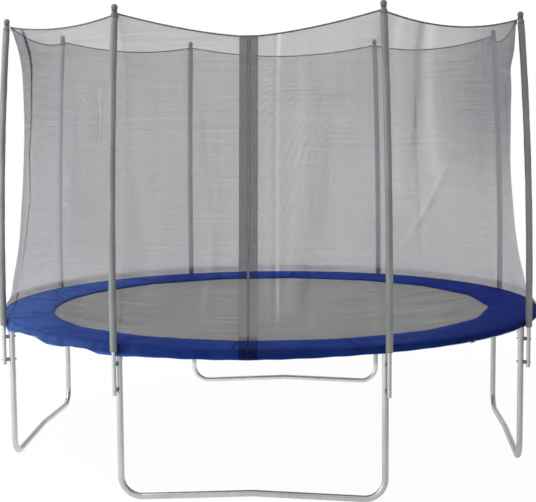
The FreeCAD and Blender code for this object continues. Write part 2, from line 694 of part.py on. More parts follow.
def hem_cord():
    """Cord in the net's top hem, swagged from pole line to pole line."""
    pieces = []
    for start, end, hem_z in hem_spans():
        first, low, last = hem_points(start, end, hem_z)
        arc = Part.Arc(first, low, last)
        wire = Part.Wire([arc.toShape()])
        tangent = arc.tangent(arc.FirstParameter)[0]
        circle = Part.Wire(Part.makeCircle(HEM_CORD_R, first, tangent))
        pieces.append(wire.makePipeShell([circle], True, False))
        pieces.append(Part.makeSphere(HEM_CORD_R + 0.4, first))
    return pieces[0].fuse(pieces[1:])


def hem_spans():
    """Start angle, end angle and lowest hem height of each panel, anticlockwise from the front right."""
    return (
        (295.0, 335.0, 2730.0), (335.0, 385.0, 2719.0), (25.0, 65.0, 2734.0), (65.0, 115.0, 2718.0),
        (115.0, 155.0, 2742.0), (155.0, 205.0, 2740.0), (205.0, 245.0, 2752.0), (245.0, 295.0, DOOR_TOP_Z),
    )


def pole_loop():
    """Sewn loop round a cap's neck, with the tab that ends at the hem's corner."""
    wire_r = 2.0
    eye = Part.makeTorus(CAP_NECK_R + wire_r + 0.5, wire_r, Vector(0, 0, CAP_NECK_RISE))
    placed_eye = at_pole_tip(eye)
    inner_rim = at_pole_tip(Part.Vertex(Vector(-CAP_NECK_R - wire_r, 0, CAP_NECK_RISE))).Point
    corner = Vector(HEM_CORNER_R + HEM_CORD_R - 1.0, 0, HEM_CORNER_Z)
    run = inner_rim - corner
    strap = Part.makeBox(run.Length, 14.0, 2.4, Vector(0, -7.0, -1.2))
    strap.Placement = Placement(corner, Rotation(Vector(1, 0, 0), run))
    tab = Part.makeBox(2.4, 14.0, 26.0, Vector(corner.x - 1.2, -7.0, corner.z - 24.0))
    return placed_eye.fuse(strap).fuse(tab)


def strip_on_door(half_width, thickness, offset, top, bottom):
    """Flat band on the door line, set outward by an offset."""
    outline = [
        Vector(0, -(door_radius(top) + offset), top),
        Vector(0, -(door_radius(DOOR_FOOT_Z) + offset), DOOR_FOOT_Z),
        Vector(0, -(door_radius(bottom) + offset), bottom),
        Vector(0, -(door_radius(bottom) + offset - thickness), bottom),
        Vector(0, -(door_radius(DOOR_FOOT_Z) + offset - thickness), DOOR_FOOT_Z),
        Vector(0, -(door_radius(top) + offset - thickness), top),
    ]
    outline = [point - Vector(half_width, 0, 0) for point in outline]
    return Part.Face(Part.makePolygon(outline + outline[:1])).extrude(Vector(2 * half_width, 0, 0))


def door_slope():
    """Angle in degrees between the door line and the upright, leaning inward at the top."""
    return math.degrees(math.atan2(NET_FOOT_R - DOOR_TOP_R, DOOR_TOP_Z - DOOR_FOOT_Z))


def on_door_line(shape):
    """Shape modelled at the origin with +Z along the zip and -Y outward, moved to the slider's place."""
    placed = shape.copy()
    seat = Vector(0, -(door_radius(SLIDER_Z) + SLIDER_OFFSET), SLIDER_Z)
    placed.Placement = Placement(seat, Rotation(Vector(1, 0, 0), -door_slope()))
    return placed


def zip_slider():
    """Zip slider body with the bail that carries the pull."""
    body = Part.makeBox(11.0, 3.2, 14.0, Vector(-5.5, -3.4, -7.0))
    body = body.makeFillet(1.0, [edge for edge in body.Edges if abs(edge.tangentAt(0.0).y) > 0.9])
    ears = [Part.makeBox(1.4, 5.2, 4.0, Vector(x, -8.2, -2.0)) for x in (-4.4, 3.0)]
    pin = Part.makeCylinder(SLIDER_PIN_R, 6.4, Vector(-3.2, SLIDER_PIN_Y, 0), Vector(1, 0, 0))
    return on_door_line(body.fuse(ears).fuse(pin))


def zip_pull():
    """Flat pull tab that hangs from the slider's pin."""
    tab = Part.makeBox(5.0, 1.6, 34.0, Vector(-2.5, SLIDER_PIN_Y - 0.8, -33.0))
    eye = Part.makeCylinder(2.2, 5.0, Vector(-2.5, SLIDER_PIN_Y, 0), Vector(1, 0, 0))
    bore = Part.makeCylinder(SLIDER_PIN_R + PULL_GAP, 7.0, Vector(-3.5, SLIDER_PIN_Y, 0), Vector(1, 0, 0))
    hang = tab.fuse(eye).cut(bore)
    slot = Part.makeCylinder(1.2, 6.0, Vector(0, SLIDER_PIN_Y + 3.0, -27.0), Vector(0, -1, 0))
    return on_door_line(hang.cut(slot))


def net_tie(angle):
    """Elastic tie from the net's foot, round the ring's tube."""
    side = -0.5 * TIE_WIDTH
    along = Vector(0, TIE_WIDTH, 0)
    start = Vector(RING_R, side, RING_Z)
    band = Part.makeCylinder(TUBE_R + 1.8, TIE_WIDTH, start, along)
    band = band.cut(Part.makeCylinder(TUBE_R + 0.3, TIE_WIDTH, start, along))
    ring_bottom = RING_Z - TUBE_R - 1.0
    inner_r = NET_FOOT_R - NET_THICKNESS
    outline = [
        Vector(RING_R + 2.0, side, ring_bottom), Vector(inner_r - 1.4, side, TIE_DIP),
        Vector(NET_FOOT_R, side, TIE_DIP),
        Vector(NET_FOOT_R, side, NET_FOOT_BOTTOM), Vector(inner_r, side, NET_FOOT_BOTTOM),
        Vector(inner_r, side, TIE_DIP + 1.4), Vector(inner_r - 1.1, side, TIE_DIP + 1.4),
        Vector(RING_R + 4.0, side, ring_bottom + 0.5),
    ]
    tail = Part.Face(Part.makePolygon(outline + outline[:1])).extrude(along)
    return turned(band.fuse(tail), angle)


# Writing the sub-parts

def build_frame():
    """Rails, legs and their screws."""
    socket_angles = LEG_ANGLES[1:] + [LEG_ANGLES[0] + FULL_TURN]
    for index, angle in enumerate(LEG_ANGLES):
        start = angle + RAIL_JOINT_OFFSET
        end = socket_angles[index] + RAIL_JOINT_OFFSET
        save(f"frame_rail_{index + 1}", frame_rail(start, end, socket_angles[index]))
        save(f"leg_upright_{index + 1}", leg_upright(angle))
    front = leg_base()
    for name, angle in (("front", 0), ("right", 90), ("back", 180), ("left", 270)):
        save("leg_base_" + name, turned(front, angle))
    save("leg_screws", group(leg_screw(angle) for angle in LEG_ANGLES))


def build_poles():
    """Net poles with everything that is on them."""
    upper = pole_piece(POLE_JOINT + 0.3, POLE_TOP, POLE_R, POLE_R - POLE_WALL)
    for index, angle in enumerate(LEG_ANGLES):
        save(f"pole_upper_{index + 1}", turned(upper, angle))
    singles = {
        "pole_lower_tubes": [pole_lower()],
        "pole_sleeves": [pole_piece(SLEEVE_BOTTOM, POLE_TOP - 0.2, SLEEVE_R, SLEEVE_BORE_R)],
        "pole_caps": [pole_cap()],
        "pole_spacers": [pole_spacer(height) for height in SPACER_HEIGHTS],
        "pole_bolts": [pole_bolt(height) for height in SPACER_HEIGHTS],
        "pole_nuts": [pole_nut(height) for height in SPACER_HEIGHTS],
        "net_pole_loops": [pole_loop()],
    }
    for name, shapes in singles.items():
        save(name, group(turned(shape, angle) for angle in LEG_ANGLES for shape in shapes))


def build_bed():
    """Mat, webbing, wire rings, springs, pad and skirt."""
    save("mat", mat())
    save("mat_webbing", mat_webbing())
    save("mat_rings", group(turned(mat_ring(), angle) for angle in spring_angles()))
    one_spring = spring()
    save("springs", group(turned(one_spring, angle) for angle in spring_angles()))
    save("safety_pad", safety_pad())
    save("pad_skirt", pad_skirt())


def build_net():
    """Net panels, hem cord, ties, door strip and zip."""
    for index, (start, end, hem_z) in enumerate(hem_spans()[:-1]):
        fold = 14.0 if hem_z < 2735.0 else 8.0
        save(f"net_panel_{index + 1}", net_panel(start, end, hem_z, fold))
    save("net_front_left", front_half(True))
    save("net_front_right", front_half(False))
    save("net_hem_cord", hem_cord())
    save("net_ties", group(net_tie(angle) for angle in TIE_ANGLES))
    strip = strip_on_door(DOOR_HALF_WIDTH, NET_THICKNESS, 0.0, DOOR_TOP_Z - 6.0, NET_FOOT_BOTTOM)
    save("door_strip", strip)
    save("zip_tape", strip_on_door(ZIP_TAPE_HALF_WIDTH, 1.0, 1.1, ZIP_TOP, ZIP_BOTTOM))
    save("zip_slider", zip_slider())
    save("zip_pull", zip_pull())


os.makedirs(OUT, exist_ok=True)
build_frame()
build_poles()
build_bed()
build_net()
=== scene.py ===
"""Round garden trampoline with a safety net: its looks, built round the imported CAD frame.

Lengths are metres. +Z is up, the floor is Z = 0, the ring's axis is the Z axis and the net's door faces -Y.
Angles are plan angles in degrees, counted anticlockwise from +X.
"""

import logging
import math
from dataclasses import dataclass
from enum import Enum
from typing import Any

import bmesh
import bpy
import numpy as np
from mathutils import Matrix, Vector

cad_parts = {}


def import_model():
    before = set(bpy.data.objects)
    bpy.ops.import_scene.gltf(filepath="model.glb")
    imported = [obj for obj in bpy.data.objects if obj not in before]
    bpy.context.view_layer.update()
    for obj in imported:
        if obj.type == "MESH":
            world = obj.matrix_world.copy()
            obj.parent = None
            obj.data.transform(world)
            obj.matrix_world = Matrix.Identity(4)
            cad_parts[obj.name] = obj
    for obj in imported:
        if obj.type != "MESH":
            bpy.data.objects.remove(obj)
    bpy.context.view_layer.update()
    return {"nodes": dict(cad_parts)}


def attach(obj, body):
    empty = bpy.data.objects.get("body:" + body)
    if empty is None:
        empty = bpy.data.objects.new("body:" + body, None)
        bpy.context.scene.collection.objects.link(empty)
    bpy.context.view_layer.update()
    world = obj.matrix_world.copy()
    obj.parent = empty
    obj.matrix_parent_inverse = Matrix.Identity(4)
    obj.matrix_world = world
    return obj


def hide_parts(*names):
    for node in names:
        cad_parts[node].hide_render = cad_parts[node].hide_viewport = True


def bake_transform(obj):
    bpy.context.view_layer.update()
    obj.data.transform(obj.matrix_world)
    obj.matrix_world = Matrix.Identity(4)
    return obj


LOG = logging.getLogger("trampoline")
Array = np.ndarray
Colour = tuple[float, float, float]
ALONG_X = (1.0, 0.0, 0.0)
ALONG_Y = (0.0, 1.0, 0.0)
ALONG_Z = (0.0, 0.0, 1.0)
WHITE: Colour = (1.0, 1.0, 1.0)


class Body(Enum):
    """Rigid bodies of the CAD part."""

    FRAME = "frame"
    MAT = "mat"


class Slot(Enum):
    """Material slots of the record."""

    TUBE = "galvanised_tube"
    SLEEVE = "sleeve_foam"
    NET = "net_mesh"
    CORD = "hem_cord"
    TIE = "elastic_tie"
    DOOR = "door_fabric"
    TAPE = "zip_tape"
    ZIP = "zip_metal"
    MAT = "mat_fabric"
    WEBBING = "mat_webbing"
    SPRING = "spring_steel"
    PAD = "pad_cover"
    SKIRT = "pad_skirt_cover"


class Held(Enum):
    """How a sheet of cloth is held."""

    HUNG = "hung"
    STRETCHED = "stretched"


# Arrays of points


def unit(vectors: Array) -> Array:
    """Vectors scaled to length one."""
    return vectors / np.linalg.norm(vectors, axis=-1, keepdims=True)


def joined(*parts: Any) -> Array:
    """Points or map places made of their coordinates, after each is spread to the same shape."""
    return np.stack(np.broadcast_arrays(*parts), axis=-1)


def polar(radius: Any, angle: Any, height: Any) -> Array:
    """Points at plan radii, plan angles in degrees and heights: (r cos a, r sin a, z)."""
    turn = np.radians(angle)
    return joined(radius * np.cos(turn), radius * np.sin(turn), height)


def full_turn(count: int) -> Array:
    """Even angles round a circle, in radians."""
    return np.linspace(0.0, 2.0 * np.pi, count, endpoint=False)


def eased(value: Any, low: float, high: float) -> Array:
    """Smooth step from 0 at low to 1 at high: 3t squared minus 2t cubed, with t the clipped share."""
    share = np.clip((np.asarray(value, float) - low) / (high - low), 0.0, 1.0)
    return share * share * (3.0 - 2.0 * share)


def smooth_line(value: Any, knots: Any, levels: Any) -> Array:
    """Smooth curve through knots: cubic Hermite pieces whose slopes are the knots' central differences.

    Args:
        value: Places, held between the first and the last knot.
        knots: Rising places of the knots.
        levels: The curve's value at each knot.

    Returns:
        The curve's value at each place.
    """
    knots, levels = np.asarray(knots, float), np.asarray(levels, float)
    slopes = np.gradient(levels, knots)
    value = np.clip(value, knots[0], knots[-1])
    piece = np.clip(np.searchsorted(knots, value) - 1, 0, len(knots) - 2)
    width = knots[piece + 1] - knots[piece]
    t = (value - knots[piece]) / width
    ends = (2.0 * t**3 - 3.0 * t**2 + 1.0) * levels[piece] + (3.0 * t**2 - 2.0 * t**3) * levels[piece + 1]
    bends = (t**3 - 2.0 * t**2 + t) * slopes[piece] + (t**3 - t**2) * slopes[piece + 1]
    return ends + width * bends


def run_lengths(points: Array) -> Array:
    """Distance along a line of points, from its first point to each of them."""
    steps = np.linalg.norm(np.diff(points, axis=0), axis=-1)
    return np.concatenate([[0.0], np.cumsum(steps)])


def ring_profile(radius: float, sides: int, squash: float = 1.0) -> Array:
    """Closed profile of a round or flattened rod: (r cos a, squash r sin a) at even angles."""
    turns = full_turn(sides)
    return joined(radius * np.cos(turns), squash * radius * np.sin(turns))


def strap_profile(width: float, thickness: float) -> Array:
    """Closed profile of a flat strap with slightly rounded edges, eight points round a thin rectangle."""
    half, rise = 0.5 * width, 0.5 * thickness
    inset = half - 0.4 * thickness
    return np.array([
        (half, -0.5 * rise), (half, 0.5 * rise), (inset, rise), (-inset, rise),
        (-half, 0.5 * rise), (-half, -0.5 * rise), (-inset, -rise), (inset, -rise),
    ])


def carried(profile: Array, path: Array, reference: Array, closed: bool = False) -> Array:
    """Carries a flat profile along a path.

    Point (i, j) is path point i, plus the side direction times the profile's x, plus the rise direction
    times its y. The side is the path's tangent crossed with the reference, and the rise is the side crossed
    with the tangent.

    Args:
        profile: (m, 2) points, or (n, m, 2) where the profile changes along the path.
        path: (n, 3) points.
        reference: One direction, or one for each path point, that is never along the path.
        closed: Whether the path's last point joins its first.

    Returns:
        (n, m, 3) points.
    """
    if closed:
        tangent = unit(np.roll(path, -1, axis=0) - np.roll(path, 1, axis=0))
    else:
        tangent = unit(np.gradient(path, axis=0))
    side = unit(np.cross(tangent, reference))
    rise = np.cross(side, tangent)
    return path[:, None] + profile[..., 0:1] * side[:, None] + profile[..., 1:2] * rise[:, None]


def turned(points: Array, angle: float) -> Array:
    """Points turned about the ring's axis by a plan angle: each times the turn's matrix."""
    cosine, sine = math.cos(math.radians(angle)), math.sin(math.radians(angle))
    return points @ np.array([[cosine, sine, 0.0], [-sine, cosine, 0.0], [0.0, 0.0, 1.0]])


class Shell:
    """Grids of points gathered into one mesh, with a UV map in metres and one value at each point."""

    def __init__(self) -> None:
        """Starts with nothing in it."""
        self.points: list[Array] = []
        self.corners: list[Array] = []
        self.sizes: list[Array] = []
        self.maps: list[Array] = []
        self.values: list[Array] = []
        self.count = 0

    def grid(
        self,
        points: Array,
        closed_rows: bool = False,
        closed_columns: bool = False,
        uv: Array | None = None,
        value: Any = 0.0,
        flipped: bool = False,
    ) -> Array:
        """Adds a grid of quads. A face's normal is its row direction crossed with its column direction.

        Args:
            points: (rows, columns, 3) points.
            closed_rows: Whether the last row joins the first.
            closed_columns: Whether the last column joins the first.
            uv: (rows, columns, 2) map in metres, with one more row or column where that way is closed.
            value: One number, or one for each point, kept in the attribute "share".
            flipped: Whether the faces look the other way.

        Returns:
            (rows, columns) numbers of the points in the mesh.
        """
        rows, columns = points.shape[:2]
        index = np.arange(rows * columns).reshape(rows, columns) + self.count
        knots = index
        if closed_rows:
            knots = np.vstack([knots, knots[:1]])
        if closed_columns:
            knots = np.hstack([knots, knots[:, :1]])
        if uv is None:
            uv = np.zeros(knots.shape + (2,))
        quads = joined(knots[:-1, :-1], knots[1:, :-1], knots[1:, 1:], knots[:-1, 1:])
        maps = np.stack([uv[:-1, :-1], uv[1:, :-1], uv[1:, 1:], uv[:-1, 1:]], axis=-2)
        if flipped:
            quads = quads[..., ::-1]
            maps = maps[..., ::-1, :]
        self._points(points.reshape(-1, 3), np.broadcast_to(value, (rows, columns)).ravel())
        self._faces(quads.reshape(-1, 4), maps.reshape(-1, 2))
        return index

    def _points(self, points: Array, values: Array) -> None:
        """Keeps points, each with its value."""
        self.points.append(points)
        self.values.append(values)
        self.count += len(points)

    def _faces(self, faces: Array, maps: Array) -> None:
        """Keeps faces of equal size, with their UV corners."""
        self.corners.append(faces.ravel())
        self.sizes.append(np.full(len(faces), faces.shape[1]))
        self.maps.append(maps)

    def facets(self, points: Array, faces: Array) -> None:
        """Adds points and their faces, which count the points from 0, without a map."""
        self._faces(faces + self.count, np.zeros((faces.size, 2)))
        self._points(points, np.zeros(len(points)))

    def cap(self, ring: Array) -> None:
        """Closes a ring of points with one face."""
        self._faces(ring.reshape(1, -1), np.zeros((ring.size, 2)))

    def rod(
        self, path: Array, profile: Array, reference: Any, closed: bool = False, turn: float = 0.0
    ) -> None:
        """Adds a rod: a closed profile carried along a path, with a face over each open end.

        Args:
            path: (n, 3) points of the middle line.
            profile: (m, 2) or (n, m, 2) closed profile, anticlockwise.
            reference: Direction that is never along the path.
            closed: Whether the path's last point joins its first.
            turn: Plan angle that the finished rod is turned by.
        """
        points = turned(carried(profile, path, np.asarray(reference, float), closed), turn)
        along = run_lengths(np.vstack([path, path[:1]]) if closed else path)
        outline = profile if profile.ndim == 2 else profile[0]
        around = run_lengths(np.vstack([outline, outline[:1]]))
        index = self.grid(points, closed, True, joined(around[None], along[:, None]))
        if not closed:
            self.cap(index[0])
            self.cap(index[-1][::-1])

    def build(self, name: str, material: Any, crease: float = 50.0, merge: bool = False) -> Any:
        """Puts everything into one mesh object at the origin.

        Args:
            name: The piece's name.
            material: Its material.
            crease: Edges that turn by more than this many degrees stay sharp.
            merge: Whether points in the same place become one.

        Returns:
            The new object.
        """
        mesh = bpy.data.meshes.new(name)
        points = np.concatenate(self.points).astype(np.float32)
        corners = np.concatenate(self.corners).astype(np.int32)
        sizes = np.concatenate(self.sizes).astype(np.int32)
        mesh.vertices.add(len(points))
        mesh.vertices.foreach_set("co", points.ravel())
        mesh.loops.add(len(corners))
        mesh.loops.foreach_set("vertex_index", corners)
        mesh.polygons.add(len(sizes))
        mesh.polygons.foreach_set("loop_start", (np.cumsum(sizes) - sizes).astype(np.int32))
        mesh.update(calc_edges=True)
        layer = mesh.uv_layers.new(name="UVMap")
        layer.uv.foreach_set("vector", np.concatenate(self.maps).astype(np.float32).ravel())
        share = mesh.attributes.new("share", "FLOAT", "POINT")
        share.data.foreach_set("value", np.concatenate(self.values).astype(np.float32))
        mesh.validate()
        mesh.shade_smooth()
        mesh.materials.append(material)
        piece = bpy.data.objects.new(name, mesh)
        bpy.context.scene.collection.objects.link(piece)
        if merge:
            self._merge(mesh)
        mesh.set_sharp_from_angle(angle=math.radians(crease))
        return piece

    @staticmethod
    def _merge(mesh: bpy.types.Mesh) -> None:
        """Makes points in the same place one."""
        work = bmesh.new()
        work.from_mesh(mesh)
        bmesh.ops.remove_doubles(work, verts=work.verts, dist=1e-5)
        work.to_mesh(mesh)
        work.free()


def keep(piece: Any, slot: Slot, *nodes: str) -> None:
    """Makes a piece ride on the frame and hides the CAD nodes that it stands for."""
    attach(piece, Body.FRAME.value)
    if nodes:
        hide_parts(*nodes)


@dataclass(frozen=True)
class Cut:
    """Flat size that a sheet was cut to, with its area where it isn't a rectangle.

    The numbers are the sheet's own. None of them is measured on its mesh.
    """

    width: float
    length: float
    area: float | None = None


# Shader maths


class Wire:
    """One output socket of a node tree. Python's operators on it add Math nodes."""

    def __init__(self, sheet: "NodeSheet", socket: Any) -> None:
        """Keeps the tree and the socket."""
        self.sheet = sheet
        self.socket = socket

    def __add__(self, other: Any) -> "Wire":
        """Sum."""
        return self.sheet.maths("ADD", self, other)

    __radd__ = __add__

    def __mul__(self, other: Any) -> "Wire":
        """Product."""
        return self.sheet.maths("MULTIPLY", self, other)

    __rmul__ = __mul__

    def __sub__(self, other: Any) -> "Wire":
        """Difference."""
        return self.sheet.maths("SUBTRACT", self, other)

    def __rsub__(self, other: Any) -> "Wire":
        """Difference, the other way round."""
        return self.sheet.maths("SUBTRACT", other, self)

    def __truediv__(self, other: Any) -> "Wire":
        """Quotient."""
        return self.sheet.maths("DIVIDE", self, other)

    def __lt__(self, other: Any) -> "Wire":
        """1 where this is the smaller, else 0."""
        return self.sheet.maths("LESS_THAN", self, other)

    def __gt__(self, other: Any) -> "Wire":
        """1 where this is the larger, else 0."""
        return self.sheet.maths("GREATER_THAN", self, other)

    def __abs__(self) -> "Wire":
        """Size without its sign."""
        return self.sheet.maths("ABSOLUTE", self)

    def sine(self) -> "Wire":
        """Sine of this, in radians."""
        return self.sheet.maths("SINE", self)

    def most(self, other: Any) -> "Wire":
        """The larger of the two."""
        return self.sheet.maths("MAXIMUM", self, other)

    def least(self, other: Any) -> "Wire":
        """The smaller of the two."""
        return self.sheet.maths("MINIMUM", self, other)

    def ramp(self, low: float, high: float) -> "Wire":
        """Smooth step from 0 at low to 1 at high."""
        sockets = {"Value": self, "From Min": low, "From Max": high, "To Min": 0.0, "To Max": 1.0}
        return self.sheet.wire("ShaderNodeMapRange", {"interpolation_type": "SMOOTHSTEP"}, sockets)


class NodeSheet:
    """A node tree that is filled through one method for nodes and one for maths."""

    def __init__(self, tree: bpy.types.NodeTree) -> None:
        """Takes an empty or a default tree and clears it."""
        self.tree = tree
        tree.nodes.clear()

    def add(
        self, kind: str, settings: dict[str, Any] | None = None, sockets: dict[Any, Any] | None = None
    ) -> Any:
        """Adds a node.

        Args:
            kind: The node's type.
            settings: Its properties, set first.
            sockets: Values or links of its inputs, by name or number.

        Returns:
            The node.
        """
        node = self.tree.nodes.new(kind)
        for name, value in (settings or {}).items():
            setattr(node, name, value)
        for name, value in (sockets or {}).items():
            self._plug(node.inputs[name], value)
        return node

    def wire(self, kind: str, settings: Any = None, sockets: Any = None, output: Any = 0) -> Wire:
        """Adds a node and takes one of its outputs, by name or number."""
        return Wire(self, self.add(kind, settings, sockets).outputs[output])

    def _plug(self, socket: Any, value: Any) -> None:
        """Links a socket or sets its value."""
        if isinstance(value, Wire):
            self.tree.links.new(value.socket, socket)
        elif socket.type == "RGBA" and len(value) == 3:
            socket.default_value = (*value, 1.0)
        else:
            socket.default_value = value

    def maths(self, operation: str, *values: Any) -> Wire:
        """Adds a Math node on links or numbers."""
        return self.wire("ShaderNodeMath", {"operation": operation}, dict(enumerate(values)))

    def mixed(self, factor: Any, first: Any, second: Any) -> Wire:
        """Colour between two colours."""
        return self.wire("ShaderNodeMix", {"data_type": "RGBA"}, {0: factor, 6: first, 7: second}, 2)

    def place(self, output: str = "Object") -> Wire:
        """The point's own coordinates: Object or UV."""
        return self.wire("ShaderNodeTexCoord", output=output)

    def stretched(self, place: Wire, scale: tuple[float, float, float]) -> Wire:
        """Coordinates with each axis scaled."""
        return self.wire("ShaderNodeMapping", None, {"Vector": place, "Scale": scale})

    def parts(self, place: Wire) -> tuple[Wire, Wire, Wire]:
        """The three numbers of a vector."""
        node = self.add("ShaderNodeSeparateXYZ", None, {"Vector": place})
        return tuple(Wire(self, output) for output in node.outputs)

    def share(self) -> Wire:
        """The mesh's own value at the point."""
        return self.wire("ShaderNodeAttribute", {"attribute_name": "share"}, output="Fac")

    def noise(self, place: Wire, scale: float, detail: float = 3.0, rough: float = 0.5) -> Wire:
        """Cloudy noise from 0 to 1."""
        sockets = {"Vector": place, "Scale": scale, "Detail": detail, "Roughness": rough}
        return self.wire("ShaderNodeTexNoise", None, sockets, "Fac")

    def cells(self, place: Wire, scale: float) -> Wire:
        """Random grey of Voronoi cells."""
        colour = self.wire("ShaderNodeTexVoronoi", None, {"Vector": place, "Scale": scale}, "Color")
        return self.wire("ShaderNodeSeparateColor", None, {"Color": colour})

    def bump(self, height: Wire, strength: float, distance: float) -> Wire:
        """Normal of a height whose unit is the distance in metres."""
        sockets = {"Height": height, "Strength": strength, "Distance": distance}
        return self.wire("ShaderNodeBump", None, sockets)

    def surface(self, sockets: dict[str, Any]) -> Wire:
        """Principled surface with these sockets."""
        return self.wire("ShaderNodeBsdfPrincipled", None, sockets)

    def output(self, surface: Wire, kind: str = "ShaderNodeOutputMaterial") -> None:
        """Joins a surface to the tree's output."""
        self.add(kind, None, {"Surface": surface})


def threads(across: Wire, pitch: float) -> Wire:
    """Distance from the nearest thread's middle: the size of the sine of pi times place over pitch."""
    return abs((across * (math.pi / pitch)).sine())


def plain_weave(across: Wire, along: Wire, pitch: float) -> Wire:
    """Over and under threads: half plus half the product of two sines, one across and one along."""
    wave = (across * (2.0 * math.pi / pitch)).sine() * (along * (2.0 * math.pi / pitch)).sine()
    return wave * 0.5 + 0.5


def stitch_row(across: Wire, along: Wire, at: float, length: float, width: float) -> Wire:
    """1 on the stitches of one straight seam, 0 off them: where the sine along it is over a level.

    Args:
        across: Place across the seam.
        along: Place along it.
        at: Where the seam lies across.
        length: Half of the length of a stitch with its gap, in metres.
        width: Half of a stitch's width.

    Returns:
        The mask.
    """
    gap_level = -0.55
    on_row = abs(across - at) < width
    return on_row * ((along * (math.pi / length)).sine() > gap_level)


# Finishes


@dataclass(frozen=True)
class Finish:
    """A surface finish. Each kind fills a node tree and keeps one material of that name.

    Where a kind has them, clouds is the scale of its cloudy noise, rough its least roughness, gloss its
    specular level, and relief the strength and the distance in metres of its bump.
    """

    name: str

    def material(self) -> bpy.types.Material:
        """The material, made the first time that it is asked for."""
        title = "look_" + self.name
        made = bpy.data.materials.get(title)
        if made is None:
            made = bpy.data.materials.new(title)
            made.use_nodes = True
            sheet = NodeSheet(made.node_tree)
            sheet.output(self.surface(sheet))
        return made

    def surface(self, sheet: NodeSheet) -> Wire:
        """The surface's shader."""
        raise NotImplementedError


@dataclass(frozen=True)
class Galvanised(Finish):
    """Zinc-coated steel: spangle cells, drawn streaks and a faint dulling."""

    light: Colour = (0.57, 0.58, 0.585)
    dark: Colour = (0.40, 0.41, 0.42)
    spangle: float = 110.0
    streak: tuple[float, float, float] = (60.0, 60.0, 4.0)
    metal: float = 0.9
    clouds: float = 5.0
    rough: float = 0.2
    relief: tuple[float, float] = (0.08, 0.0003)

    def surface(self, sheet: NodeSheet) -> Wire:
        """Spangle and streaks set the grey between dark and light, and roughen the gloss."""
        place = sheet.place()
        spangle = sheet.cells(place, self.spangle)
        streaks = sheet.noise(sheet.stretched(place, self.streak), 1.0, 4.0)
        cloud = sheet.noise(place, self.clouds)
        tone = spangle * 0.16 + streaks * 0.4 + cloud * 0.5
        colour = sheet.mixed(tone.ramp(0.15, 0.95), self.dark, self.light)
        return sheet.surface({
            "Base Color": colour, "Metallic": self.metal,
            "Roughness": streaks * 0.12 + cloud * 0.14 + self.rough,
            "Normal": sheet.bump(streaks * 0.7 + spangle * 0.3, *self.relief),
        })


@dataclass(frozen=True)
class Plastic(Finish):
    """Moulded plastic: fine grain and slight fading."""

    colour: Colour = (0.1, 0.1, 0.105)
    rough: float = 0.42
    clouds: float = 9.0
    grain: float = 900.0
    relief: tuple[float, float] = (0.2, 0.0003)

    def surface(self, sheet: NodeSheet) -> Wire:
        """Two noises: a cloud for the fading and a fine one for the grain."""
        place = sheet.place()
        cloud = sheet.noise(place, self.clouds)
        grain = sheet.noise(place, self.grain, 2.0)
        faded = tuple(min(1.0, part * 1.3 + 0.015) for part in self.colour)
        return sheet.surface({
            "Base Color": sheet.mixed(cloud.ramp(0.3, 0.8), self.colour, faded),
            "Roughness": grain * 0.15 + self.rough, "Normal": sheet.bump(grain, *self.relief),
        })


@dataclass(frozen=True)
class SleeveCover(Finish):
    """Grey coated cover of the pole foam, with a sewn seam down one side."""

    colour: Colour = (0.182, 0.192, 0.192)
    worn: Colour = (0.243, 0.250, 0.251)
    thread: Colour = (0.33, 0.34, 0.34)
    pitch: float = 0.0016
    clouds: tuple[float, float, float] = (14.0, 14.0, 3.0)
    fine: float = 60.0
    seam_place: float = 0.004
    stitch_length: float = 0.004
    stitch_width: float = 0.0008
    rough: float = 0.36
    gloss: float = 0.55
    relief: tuple[float, float] = (0.3, 0.0008)

    def surface(self, sheet: NodeSheet) -> Wire:
        """Weave under the coating, cloudy wear, and stitches beside the seam at the map's left edge."""
        across, along, _ = sheet.parts(sheet.place("UV"))
        weave = plain_weave(across, along, self.pitch)
        place = sheet.place()
        cloud = sheet.noise(sheet.stretched(place, self.clouds), 1.0, 4.0)
        fine = sheet.noise(place, self.fine)
        stitches = stitch_row(across, along, self.seam_place, self.stitch_length, self.stitch_width)
        colour = sheet.mixed(cloud.ramp(0.35, 0.75), self.colour, self.worn)
        return sheet.surface({
            "Base Color": sheet.mixed(stitches * 0.5, colour, self.thread),
            "Roughness": fine * 0.14 + self.rough, "Specular IOR Level": self.gloss,
            "Normal": sheet.bump(weave * 0.25 + cloud * 1.2 + stitches, *self.relief),
        })


